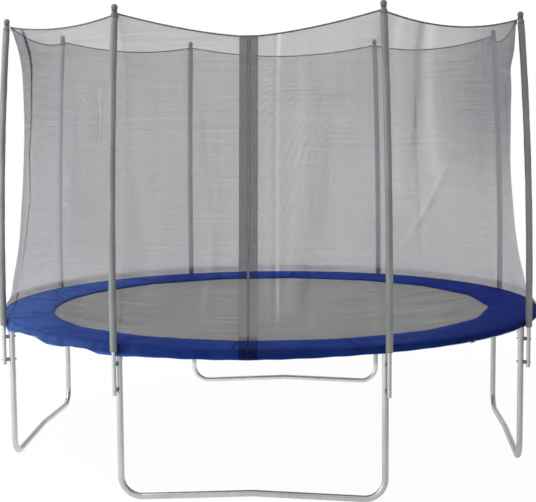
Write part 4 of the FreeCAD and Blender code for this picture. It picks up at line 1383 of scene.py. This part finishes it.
    def build_skirt(self) -> None:
        """Skirt: a sheet that follows the pad's outer edge and hangs to the measured lower edge.

        Row share t runs from top to bottom. The radius is the skirt's, less a turn-in at the top, plus waves
        that grow with t squared and are deepest where the skirt hangs loose.
        """
        angles = np.linspace(0.0, 360.0, 1440, endpoint=False)
        share = np.linspace(0.0, 1.0, 13)[:, None]
        loose = eased(angles, 200.0, 210.0) * (1.0 - eased(angles, 240.0, 250.0))
        turn = np.radians(angles)
        small = 0.0007 * np.sin(turn * 53.0 + 0.4) + 0.0005 * np.sin(turn * 97.0)
        large = 0.0030 * np.sin(turn * 40.0 + 1.0) - 0.0035
        wave = (small + loose * large)[None] * share**2
        tuck = -0.0022 * (1.0 - eased(share, 0.0, 0.12)) - 0.0012 * eased(share, 0.7, 1.0)
        radius = self.skirt_radius + wave + tuck
        lower = skirt_edge(angles) + 0.0012 * np.sin(turn * 61.0)
        height = self.skirt_top + (lower[None] - self.skirt_top) * share
        points = polar(radius, angles[None], height)
        seam = np.exp(-(((1.0 - share) * self.skirt_drop - 0.008) / 0.0012) ** 2) * 0.7
        along = np.radians(np.append(angles, 360.0)) * self.skirt_radius
        uv = joined(share * self.skirt_drop, along[None])
        shell = Shell()
        shell.grid(points, closed_columns=True, uv=uv, value=seam)
        skirt = shell.build("skirt_cloth", SKIRT_BLUE.material(), crease=80.0)
        keep(skirt, Slot.SKIRT, "pad_skirt")

    def build_bindings(self) -> None:
        """Bound edges: a cord along the pad's inner edge and one where the skirt is sewn on."""
        angles = np.linspace(0.0, 360.0, 1280, endpoint=False) + self.first_seam
        inner = polar(self.inner_radius(angles) - 0.0005, angles, self.under_heights[0] + 0.0042)
        outer = polar(self.skirt_radius - 0.0016, angles, self.skirt_top + 0.0006)
        shell = Shell()
        shell.rod(inner, ring_profile(0.0022, 8), ALONG_Z, closed=True)
        shell.rod(outer, ring_profile(0.0018, 8), ALONG_Z, closed=True)
        keep(shell.build("pad_bindings", PAD_BINDING.material()), Slot.PAD)

    def build(self) -> None:
        """Makes the pad, its bindings and its skirt."""
        self.build_pad()
        self.build_bindings()
        self.build_skirt()


@dataclass(frozen=True)
class Span:
    """One span of the net between two poles."""

    start: float
    end: float
    low: float
    folds: float
    bow: float = 2.0

    @property
    def middle(self) -> float:
        """Plan angle of the span's middle."""
        return 0.5 * (self.start + self.end)

    @property
    def half(self) -> float:
        """Half of the span's plan angle."""
        return 0.5 * (self.end - self.start)


@dataclass(frozen=True)
class Crease:
    """A fold in one net piece: a line of shares across it by height, and how much denser the mesh looks."""

    piece: str
    heights: tuple[float, ...]
    shares: tuple[float, ...]
    width: float
    density: float

    def weight(self, share: Array, height: Array) -> Array:
        """Bell across the line, faded at both ends of it."""
        off = (share - np.interp(height, self.heights, self.shares)) / self.width
        ends = eased(height, self.heights[0] - 0.06, self.heights[0] + 0.18)
        ends = ends * (1.0 - eased(height, self.heights[-1] - 0.14, self.heights[-1] + 0.08))
        return self.density * np.exp(-(off**2)) * ends


@dataclass
class SafetyNet:
    """Mesh panels, the hem with its cord, the loops on the caps and the elastic ties."""

    hem_corner_radius: float = 1.757
    hem_corner_height: float = 2.795
    columns: int = 97
    rows: int = 121
    hem_radius: float = 0.0060
    hem_fade: float = 0.45
    spans: tuple[Span, ...] = (
        Span(295.0, 335.0, 2.730, 0.014), Span(335.0, 385.0, 2.719, 0.014), Span(25.0, 65.0, 2.734, 0.014),
        Span(65.0, 115.0, 2.718, 0.014), Span(115.0, 155.0, 2.742, 0.008), Span(155.0, 205.0, 2.740, 0.008),
        Span(205.0, 245.0, 2.752, 0.008),
    )
    front: Span = Span(245.0, 295.0, 2.659, 0.0, 1.5)
    corner_heights: tuple[float, ...] = (
        0.866, 0.930, 1.000, 1.150, 1.340, 1.650, 2.000, 2.300, 2.600, 2.850,
    )
    corner_radii: tuple[float, ...] = (
        1.8392, 1.8392, 1.800, 1.772, 1.741, 1.716, 1.696, 1.690, 1.705, 1.773,
    )
    full_heights: tuple[float, ...] = (0.866, 0.930, 1.340, 2.000, 2.400, 2.850)
    fullness: tuple[float, ...] = (1.0, 1.0, 0.9, 0.72, 0.45, 0.05)
    tie_angles: tuple[float, ...] = (0.0, 45.0, 80.0, 100.0, 135.0, 180.0, 260.0, 280.0, 315.0)
    right_heights: tuple[float, ...] = (
        0.930, 1.100, 1.400, 1.700, 1.830, 2.000, 2.150, 2.300, 2.450, 2.600, 2.795,
    )
    right_shifts: tuple[float, ...] = (
        0.0, -0.018, -0.024, -0.025, -0.024, -0.015, 0.003, 0.014, 0.027, 0.046, 0.0,
    )
    creases: tuple[Crease, ...] = (
        Crease("1", (1.90, 2.10, 2.40, 2.86), (0.205, 0.225, 0.262, 0.280), 0.024, 0.95),
        Crease("1", (1.75, 2.00, 2.30, 2.86), (0.380, 0.362, 0.350, 0.345), 0.045, -0.66),
        Crease("1", (1.42, 1.56, 1.68, 1.82, 1.95), (0.09, 0.19, 0.28, 0.38, 0.47), 0.016, -0.60),
        Crease("1", (1.60, 2.20, 2.86), (0.10, 0.12, 0.13), 0.040, -0.50),
        Crease("1", (1.42, 1.56, 1.68, 1.82, 1.95), (0.125, 0.225, 0.315, 0.415, 0.505), 0.024, 0.62),
        Crease("1", (1.30, 2.40), (0.232, 0.240), 0.011, 0.55),
        Crease("front_right", (1.05, 2.84), (0.160, 0.172), 0.014, -1.05),
        Crease("front_right", (1.30, 2.84), (0.128, 0.140), 0.012, 0.42),
        Crease("front_right", (1.10, 2.45), (0.070, 0.085), 0.040, -0.26),
        Crease("4", (1.20, 1.90, 2.50), (0.30, 0.25, 0.20), 0.035, 0.29),
        Crease("3", (1.10, 1.70, 2.50), (0.62, 0.55, 0.50), 0.045, -0.29),
        Crease("5", (1.10, 1.80, 2.60), (0.35, 0.42, 0.46), 0.050, -0.25),
        Crease("7", (1.10, 1.90, 2.70), (0.55, 0.60, 0.62), 0.040, 0.29),
        Crease(
            "7", (0.95, 1.36, 1.70, 2.00, 2.34, 2.86), (0.04, 0.08, 0.14, 0.10, 0.125, 0.11), 0.026, 1.28,
        ),
        Crease("front_left", (1.30, 1.80, 2.30), (0.16, 0.26, 0.34), 0.030, 0.29),
        Crease("front_left", (1.10, 1.60, 2.20), (0.30, 0.22, 0.12), 0.022, -0.29),
        Crease("front_left", (1.10, 1.60, 2.50), (0.78, 0.72, 0.66), 0.040, -0.18),
        Crease("front_right", (1.10, 1.80, 2.40), (0.22, 0.32, 0.38), 0.045, -0.32),
        Crease("front_right", (1.10, 1.80, 2.40), (0.36, 0.46, 0.52), 0.035, 0.29),
    )
    cap_foot: float = 2.775
    neck_height: float = 0.0380
    neck_radius: float = 0.0150
    tie_gap: float = 0.0011

    def corner_radius(self, height: Array, angle: Any) -> Array:
        """Plan radius of the net at the poles, drawn in at the waist, with the right side's own shift."""
        shift = smooth_line(height, self.right_heights, self.right_shifts)
        weight = np.clip(np.cos(np.radians(np.asarray(angle, float) + 5.0)), 0.0, 1.0) ** 3
        return smooth_line(height, self.corner_heights, self.corner_radii) + shift * weight

    def hem_height(self, span: Span, sideways: Array) -> Array:
        """Height of the hem's swag: its lowest plus its sag times the share sideways to the span's power."""
        half_chord = self.hem_corner_radius * math.sin(math.radians(span.half))
        reach = np.minimum(np.abs(sideways) / half_chord, 1.0)
        return span.low + (self.hem_corner_height - span.low) * reach**span.bow

    def foot_height(self, angle: Array) -> Array:
        """Height of the net's foot, hidden behind the skirt's edge where that is high."""
        return np.maximum(LAYOUT.net_foot_bottom, skirt_edge(angle) + 0.004)

    def ripples(self, share: Array, height: Array, order: float) -> Array:
        """Soft folds of a hanging panel, outward in metres.

        Two upright waves, plus slanted pulls from the hem's corners. All of them grow with height and fade
        at the seams.

        Args:
            share: Share across the panel.
            height: Height over the floor.
            order: A number that shifts the waves.

        Returns:
            The points' way outward.
        """
        rise = eased(height, 0.95, 2.2)
        waves = 0.003 * np.sin(share * 21.0 + order + 0.6 * height)
        waves = waves + 0.002 * np.sin(share * 47.0 + 2.0 * order)
        pull = 0.003 * np.sin(30.0 * (share + 0.22 * height) + order) * eased(height, 1.6, 2.6)
        edge = np.sqrt(np.clip(share * (1.0 - share), 0.0, None)) * 2.0
        return (waves + pull) * rise * edge

    def panel(self, span: Span, number: int, share: Array, level: Array) -> tuple[Array, Array]:
        """Surface of a panel.

        Across is the span's chord. Outward is the chord's distance plus the round bulge times the fullness,
        plus folds and ripples; bulge and folds fade into the straight hem.

        Args:
            span: The panel's span.
            number: Its number, which shifts the ripples.
            share: Shares across it, as one row.
            level: Shares of its height, as one column.

        Returns:
            The points, and their heights above the foot.
        """
        half = math.radians(span.half)
        sideways = 2.0 * share - 1.0
        angle = span.start + (span.end - span.start) * share
        top = self.hem_height(span, self.hem_corner_radius * math.sin(half) * sideways)
        foot = self.foot_height(angle)
        height = foot + (top - foot) * level
        lift = (self.hem_corner_radius - self.corner_radius(top, angle)) * eased(level, 0.8, 1.0)
        corner = self.corner_radius(height, angle) + lift
        calm = 1.0 - eased(height, self.hem_corner_height - self.hem_fade, self.hem_corner_height - 0.06)
        calm = calm * (1.0 - eased(level, 0.82, 1.0))
        chord = corner * math.cos(half)
        full = np.interp(height, self.full_heights, self.fullness)
        across = corner * math.sin(half) * sideways
        bulge = (np.sqrt(corner**2 - across**2) - chord) * full * calm
        fading = np.clip((height - 0.93) / 1.5, 0.0, 1.0) * 2.0 * np.sqrt(share * (1.0 - share)) * calm
        fold = span.folds * fading * np.sin(4.0 * np.pi * share)
        ripple = self.ripples(share, height, float(number)) * (1.0 - eased(level, 0.93, 1.0))
        outward = chord + bulge + fold + ripple
        turn = math.radians(span.middle)
        x = outward * math.cos(turn) - across * math.sin(turn)
        y = outward * math.sin(turn) + across * math.cos(turn)
        return joined(x, y, height), height - foot

    def front_half(self, side: float, share: Array, level: Array) -> tuple[Array, Array]:
        """Surface of a front half panel, from the door strip's edge to a front pole.

        Outward sag is a quarter of the round bulge times 4 s (1 - s), as the strip pulls the panel flat.

        Args:
            side: -1 for the left half, 1 for the right one.
            share: Shares from the strip to the pole, as one row.
            level: Shares of its height, as one column.

        Returns:
            The points, and their heights above the foot.
        """
        half = math.radians(self.front.half)
        edge = LAYOUT.door_half_width
        reach = self.hem_corner_radius * math.sin(half)
        top = self.hem_height(self.front, edge + (reach - edge) * share)
        foot = self.foot_height(270.0 + side * self.front.half * share)
        height = foot + (top - foot) * level
        angle = 270.0 + side * self.front.half
        lift = (self.hem_corner_radius - self.corner_radius(top, angle)) * eased(level, 0.8, 1.0)
        corner = self.corner_radius(height, angle) + lift
        x = side * (edge + (corner * math.sin(half) - edge) * share)
        full = np.interp(height, self.full_heights, self.fullness)
        sag = 0.25 * (corner - corner * math.cos(half)) * full * 4.0 * share * (1.0 - share)
        sag = sag * (1.0 - eased(level, 0.85, 1.0))
        ripple = self.ripples(share, height, 3.0 + side) * (1.0 - eased(level, 0.9, 1.0))
        door = LAYOUT.door_radius(height)
        outward = door + (corner * math.cos(half) - door) * share + sag + ripple
        return joined(x, -outward, height), height - foot

    def bunching(self, points: Array, share: Array, piece: str) -> Array:
        """How much thicker the mesh looks: at seams and hem corners, towards both sides and in creases.

        Args:
            points: The piece's points.
            share: Their shares across it.
            piece: Its number or side, as the creases name it.

        Returns:
            One value for each point.
        """
        x, height = points[..., 0], points[..., 2]
        seam = np.exp(-((np.minimum(share, 1.0 - share) / 0.022) ** 2)) * 0.10
        corner = np.exp(-np.minimum(share, 1.0 - share) / 0.08) * eased(height, 2.3, 2.8) * 0.22
        sides = 0.30 * eased(-x, 0.9, 1.5) * eased(height, 1.0, 1.4)
        sides = sides + 0.12 * eased(x, 0.3, 0.9) * eased(height, 1.8, 2.5)
        sides = sides + 0.95 * eased(x, 1.15, 1.5) * eased(height, 1.5, 2.3)
        folds = sum(crease.weight(share, height) for crease in self.creases if crease.piece == piece)
        return seam + corner + sides + folds

    def sheet_piece(self, which: str, node: str, grid: tuple[Array, ...]) -> None:
        """Args:
            which: Its number or side, as the creases name it.
            node: The CAD node that it stands for.
            grid: Its points, their heights above the foot and their shares across it.
        """
        points, height, share = grid
        middle_width = float(run_lengths(points[len(points) // 2]).max())
        shell = Shell()
        uv = joined(share * middle_width, height)
        shell.grid(points, uv=uv, value=self.bunching(points, share, which), flipped=True)
        piece = shell.build("net_cloth_" + which, NET_MESH.material(), crease=80.0)
        keep(piece, Slot.NET, node)

    def hem_path(self, number: int) -> Array:
        """The hem's line over one span, taken from the panel's top edge; the front one crosses the door."""
        share = np.linspace(0.0, 1.0, 49)[None]
        level = np.ones((1, 1))
        if number < len(self.spans):
            return self.panel(self.spans[number], number, share, level)[0][0]
        left = self.front_half(-1.0, share[:, ::-1], level)[0][0]
        right = self.front_half(1.0, share, level)[0][0]
        return np.concatenate([left, right])

    def build_panels(self) -> None:
        """Makes the seven panels and the two front halves."""
        share = np.linspace(0.0, 1.0, self.columns)[None]
        level = np.linspace(0.0, 1.0, self.rows)[:, None]
        for number, span in enumerate(self.spans):
            grid = (*self.panel(span, number, share, level), share)
            self.sheet_piece(f"{number + 1}", f"net_panel_{number + 1}", grid)
        right = (*self.front_half(1.0, share, level), share)
        left = tuple(part[:, ::-1] for part in (*self.front_half(-1.0, share, level), share))
        self.sheet_piece("front_left", "net_front_left", left)
        self.sheet_piece("front_right", "net_front_right", right)

    def build_hem(self) -> None:
        """Sewn hem with its cord: a slightly flat, gathered tube along every panel's top edge.

        Two fine waves along it change its profile's size.
        """
        shell = Shell()
        for number in range(len(self.spans) + 1):
            path = self.hem_path(number)
            along = run_lengths(path)
            gathers = 1.0 + 0.08 * np.sin(along * 160.0) + 0.05 * np.sin(along * 71.0)
            profile = ring_profile(self.hem_radius, 10, 0.8)[None] * gathers[:, None, None]
            shell.rod(path, profile, ALONG_Z)
        keep(shell.build("net_hem", HEM_BRAID.material()), Slot.CORD, "net_hem_cord")

    def build_loops(self) -> None:
        """Webbing loop round each cap's neck, the strap down to the hem's corner and its folded tab.

        The loop is a circle square to the leaning pole. The strap is a line from the loop's inside to the
        hem's corner that sags by half a sine wave. The tab hangs down from the corner.
        """
        poles = PoleSleeves()
        lean = math.asin((self.cap_foot - poles.bend_start) / poles.bend_radius)
        up = np.array([-math.sin(lean), 0.0, math.cos(lean)])
        out = np.array([math.cos(lean), 0.0, math.sin(lean)])
        neck = poles.axis(np.array([self.cap_foot]))[0] + self.neck_height * up
        turns = full_turn(32)[:, None]
        ring = neck + self.neck_radius * (np.cos(turns) * out + np.sin(turns) * np.array(ALONG_Y))
        start = neck - self.neck_radius * out
        corner = np.array([self.hem_corner_radius + 0.001, 0.0, self.hem_corner_height])
        share = np.linspace(0.0, 1.0, 9)[:, None]
        strap = start + (corner - start) * share - 0.004 * np.array(ALONG_Z) * np.sin(np.pi * share)
        drop = np.linspace(0.0, 0.028, 6)
        tab = joined(corner[0] - 0.0012 + 0.05 * drop, 0.0, corner[2] + 0.002 - drop)
        shell = Shell()
        for angle in LAYOUT.leg_angles():
            shell.rod(ring, strap_profile(0.0032, 0.007), up, closed=True, turn=angle)
            shell.rod(strap, strap_profile(0.014, 0.0022), ALONG_Z, turn=angle)
            shell.rod(tab, strap_profile(0.015, 0.0026), ALONG_X, turn=angle)
        keep(shell.build("net_loops", HEM_BRAID.material()), Slot.CORD, "net_pole_loops")

    def build_ties(self) -> None:
        """Elastic ties: a band round the ring's tube and a tail under the skirt to the net's foot."""
        shell = Shell()
        turns = np.radians(np.linspace(-62.0, 298.0, 40))
        reach = LAYOUT.tube_radius + self.tie_gap
        ring, net = LAYOUT.ring_radius, LAYOUT.net_foot_radius - 0.0012
        band = joined(ring + reach * np.cos(turns), 0.0, LAYOUT.ring_height + reach * np.sin(turns))
        for angle in self.tie_angles:
            foot = float(self.foot_height(np.array(angle)))
            tail = np.array([
                band[-1], (ring + 0.0190, 0.0, foot - 0.006), (ring + 0.0245, 0.0, foot - 0.008),
                (net, 0.0, foot - 0.006), (net, 0.0, foot + 0.006),
            ])
            line = np.vstack([band, self.rounded(tail)[1:]])
            shell.rod(line, strap_profile(0.010, 0.0012), ALONG_Y, turn=angle)
        keep(shell.build("net_foot_ties", TIE_ELASTIC.material()), Slot.TIE, "net_ties")

    @staticmethod
    def rounded(corners: Array) -> Array:
        """Smooth line near corners: four even points in each run of the corners' quadratic spline."""
        share = np.linspace(0.0, 1.0, 5)[:-1, None, None]
        before, at, after = corners[:-2], corners[1:-1], corners[2:]
        first, last = 0.5 * (before + at), 0.5 * (at + after)
        curve = (1.0 - share) ** 2 * first + 2.0 * share * (1.0 - share) * at + share**2 * last
        middle = curve.transpose(1, 0, 2).reshape(-1, 3)
        return np.vstack([corners[:1], middle, last[-1:], corners[-1:]])

    def build(self) -> None:
        """Makes the net and everything that holds it."""
        self.build_hem()
        self.build_ties()
        self.build_loops()
        self.build_panels()


@dataclass
class DoorZip:
    """Dark door strip in the front panel, its zip tapes and its teeth."""

    strip_cut: float = 1.83
    slider: float = 1.480
    tape_width: float = 0.0065
    tape_top: float = 2.640
    tape_bottom: float = 0.872
    teeth_bottom: float = 1.000
    tape: float = 0.0008
    open_gap: float = 0.0030
    closed_gap: float = 0.0004
    tooth: tuple[float, float, float] = (0.0030, 0.0006, 0.0022)
    tooth_pitch: float = 0.004
    tooth_overlap: float = 0.0008
    tooth_offset: float = 0.0013
    slider_below: float = 0.009
    slider_above: float = 0.012

    def build_strip(self) -> None:
        """Strip of close mesh: x runs across and the door's line runs up, with a ripple outward."""
        across = np.linspace(-1.0, 1.0, 17)[None]
        bend = LAYOUT.door_foot
        heights = np.concatenate([
            np.linspace(LAYOUT.net_foot_bottom, bend, 5)[:-1], np.linspace(bend, LAYOUT.door_top, 120),
        ])[:, None]
        x = LAYOUT.door_half_width * across
        ripple = 0.0012 * np.sin(heights * 23.0) * np.sin(across * 3.0 + 0.5) * eased(heights, 0.95, 1.3)
        shell = Shell()
        shell.grid(
            joined(x, -LAYOUT.door_radius(heights) - ripple, heights), uv=joined(x, heights), flipped=True
        )
        strip = shell.build("door_cloth", DOOR_CLOTH.material(), crease=80.0)
        keep(strip, Slot.DOOR, "door_strip")

    def spread(self, heights: Array) -> Array:
        """Half gap between the tapes: closed below the slider, open above it."""
        return self.closed_gap + self.open_gap * eased(heights, self.slider + 0.004, self.slider + 0.05)

    def build_tapes(self) -> None:
        """Two tapes, thin straps that follow the door's line on each side of the zip."""
        heights = np.linspace(self.tape_bottom, self.tape_top, 90)
        shell = Shell()
        for side in (-1.0, 1.0):
            path = LAYOUT.door_line(heights, self.tape)
            path[:, 0] = side * (self.spread(heights) + 0.5 * self.tape_width)
            shell.rod(path, strap_profile(self.tape_width, self.tape), (0.0, -1.0, 0.0))
        keep(shell.build("zip_tapes", ZIP_TAPE.material()), Slot.TAPE, "zip_tape")

    def build_teeth(self) -> None:
        """Rows of small teeth, none of them where the slider is.

        One box of eight points is repeated at the pitch. The right row is half a pitch higher, and the left
        row's boxes are mirrored.
        """
        unit_box = np.array([(x, y, z) for x in (0.0, 1.0) for y in (0.0, 1.0) for z in (0.0, 1.0)])
        faces = np.array([
            (0, 1, 3, 2), (4, 6, 7, 5), (0, 4, 5, 1), (2, 3, 7, 6), (0, 2, 6, 4), (1, 5, 7, 3),
        ])
        count = int((self.tape_top - self.teeth_bottom) / self.tooth_pitch)
        shell = Shell()
        for side, shift in ((-1.0, 0.0), (1.0, 0.5)):
            at = self.teeth_bottom + self.tooth_pitch * (np.arange(count) + shift)
            at = at[(at < self.slider - self.slider_below) | (at > self.slider + self.slider_above)]
            place = LAYOUT.door_line(at, self.tooth_offset)
            place[:, 0] = side * (self.spread(at) - self.tooth_overlap)
            box = unit_box * self.tooth * np.array([side, 1.0, 1.0])
            points = (place[:, None] + box[None]).reshape(-1, 3)
            numbers = (faces[None] + 8 * np.arange(len(at))[:, None, None]).reshape(-1, 4)
            shell.facets(points, numbers if side > 0.0 else numbers[:, ::-1])
        keep(shell.build("zip_teeth", ZIP_TEETH.material(), crease=30.0), Slot.ZIP)

    def build(self) -> None:
        """Makes the strip, the tapes and the teeth."""
        self.build_strip()
        self.build_tapes()
        self.build_teeth()


@dataclass
class Studio:
    """Camera of the photograph, soft light, pale floor and backdrop."""

    camera_place: tuple[float, float, float] = (0.593, -8.542, 2.171)
    yaw: float = math.radians(-4.07)
    pitch: float = math.radians(-5.92)
    roll: float = -0.0086
    focal_pixels: float = 1227.8
    image_width: float = 536.0
    sensor: float = 36.0
    floor_reach: float = 60.0
    floor_colour: Colour = (0.92, 0.92, 0.92)
    behind_net: float = 0.677
    plain_share: float = 0.965
    shadow_reach: float = 3.0
    ambient: float = 0.54
    ambient_fall: float = 0.06
    ambient_lift: float = 0.08
    mirrored: float = 1.0
    mirrored_fall: float = 0.42
    mirrored_drop: float = 0.50
    mirrored_reach: float = 3.0
    top_power: float = 0.62
    top_angle: float = math.radians(60.0)
    top_place: tuple[float, float, float] = (0.0, 0.0, 6.0)
    top_target: tuple[float, float, float] = (0.25, 0.15, 0.0)
    lamps: tuple[tuple[str, float, float, float, tuple[float, ...], tuple[float, ...]], ...] = (
        ("side", 2.8, 90.0, 180.0, (-4.6, -4.2, 2.0), (0.0, 0.0, 1.0)),
        ("overhead", 2.6, 48.0, 80.0, (-4.2, -2.0, 5.8), (-1.9, -0.6, 0.9)),
    )

    def place_camera(self) -> None:
        """Camera fitted to the photograph: forward from yaw and pitch, then rolled about its own axis."""
        sine, cosine, level = math.sin(self.yaw), math.cos(self.yaw), math.cos(self.pitch)
        forward = Vector((sine * level, cosine * level, math.sin(self.pitch)))
        right = Vector((cosine, -sine, 0.0))
        up = right.cross(forward)
        across = math.cos(self.roll) * right + math.sin(self.roll) * up
        rise = -math.sin(self.roll) * right + math.cos(self.roll) * up
        data = bpy.data.cameras.new("camera")
        data.sensor_width = self.sensor
        data.lens = self.sensor * self.focal_pixels / self.image_width
        data.clip_end = 200.0
        camera = bpy.data.objects.new("camera", data)
        facing = Matrix((across, rise, -forward)).transposed().to_4x4()
        camera.matrix_world = Matrix.Translation(self.camera_place) @ facing
        bpy.context.scene.collection.objects.link(camera)
        bpy.context.scene.camera = camera

    @staticmethod
    def rays(sheet: NodeSheet) -> tuple[Wire, Wire, Wire]:
        """Masks of the rays that see the world and the floor plain.

        Args:
            sheet: The tree that gets them.

        Returns:
            1 for a ray that is seen or passed on, for a mirrored one, and for one seen through the net.
        """
        path = sheet.add("ShaderNodeLightPath")
        names = ("Is Camera Ray", "Is Transmission Ray", "Is Glossy Ray", "Transparent Depth")
        camera, passed, glossy, depth = (Wire(sheet, path.outputs[name]) for name in names)
        return camera.most(passed), glossy, (depth > 0.5) * camera

    def light(self) -> None:
        """World that looks white and lights softly, most from the left, a sun and two lamps."""
        world = bpy.data.worlds.new("studio")
        bpy.context.scene.world = world
        world.use_nodes = True
        sheet = NodeSheet(world.node_tree)
        seen, glossy, through = self.rays(sheet)
        side, _, rise = sheet.parts(sheet.place("Generated"))
        white = 1.0 - through * (1.0 - self.behind_net)
        mirrored = self.mirrored - side * self.mirrored_fall - rise.most(0.0) * self.mirrored_drop
        ambient = self.ambient - side * self.ambient_fall + rise * self.ambient_lift
        lit = ambient + glossy * (mirrored - ambient)
        strength = lit + seen * (white - lit)
        sky = sheet.wire("ShaderNodeBackground", None, {"Color": WHITE, "Strength": strength})
        sheet.output(sky, "ShaderNodeOutputWorld")
        top = bpy.data.lights.new("top", "SUN")
        top.energy = self.top_power
        top.angle = self.top_angle
        self.aim(bpy.data.objects.new("top", top), self.top_place, self.top_target)
        for name, size, power, spread, place, target in self.lamps:
            lamp = bpy.data.lights.new(name, "AREA")
            lamp.size = size
            lamp.energy = power
            lamp.spread = math.radians(spread)
            self.aim(bpy.data.objects.new(name, lamp), place, target)

    @staticmethod
    def aim(lamp: Any, place: tuple[float, float, float], target: tuple[float, float, float]) -> None:
        """Puts a lamp in a place and points it at a target."""
        towards = Vector(place) - Vector(target)
        lamp.matrix_world = Matrix.Translation(place) @ towards.to_track_quat("Z", "Y").to_matrix().to_4x4()
        bpy.context.scene.collection.objects.link(lamp)

    def lay_floor(self) -> None:
        """Pale floor: mostly plain white to a seen ray, with part of the lit surface for the shadow."""
        made = bpy.data.materials.new("studio floor")
        made.use_nodes = True
        sheet = NodeSheet(made.node_tree)
        seen, glossy, through = self.rays(sheet)
        x, y, _ = sheet.parts(sheet.place())
        side = (x / self.mirrored_reach).most(-1.0).least(1.0)
        far = (x * x + y * y).ramp(self.shadow_reach**2, 3.0 * self.shadow_reach**2)
        mirrored = self.mirrored - side * self.mirrored_fall
        level = 1.0 - through * (1.0 - self.behind_net) + glossy * (mirrored - 1.0)
        plain = sheet.wire("ShaderNodeEmission", None, {"Color": WHITE, "Strength": level})
        lit = sheet.wire("ShaderNodeBsdfDiffuse", None, {"Color": self.floor_colour})
        share = seen * (self.plain_share + through.most(far) * (1.0 - self.plain_share)) + glossy
        sheet.output(sheet.wire("ShaderNodeMixShader", None, {0: share, 1: lit, 2: plain}))
        reach = np.array([-self.floor_reach, self.floor_reach])
        shell = Shell()
        shell.grid(joined(reach[:, None], reach[None], 0.0))
        shell.build("studio_floor", made)

    def set_view(self) -> None:
        """Plain view transform."""
        bpy.context.scene.view_settings.view_transform = "Standard"


def main() -> None:
    """Builds every sub-assembly round the frame."""
    logging.basicConfig(level=logging.INFO, format="%(message)s")
    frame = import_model()
    studio = Studio()
    studio.place_camera()
    studio.light()
    studio.lay_floor()
    studio.set_view()
    steel = SteelWork(frame["nodes"])
    steel.dress()
    steel.weld_beads()
    LOG.info("steel work dressed")
    for builder in (PoleSleeves(), JumpingBed(), SpringPad(), SafetyNet(), DoorZip()):
        builder.build()
        LOG.info("%s built", type(builder).__name__)


if __name__ == "__main__":
    main()
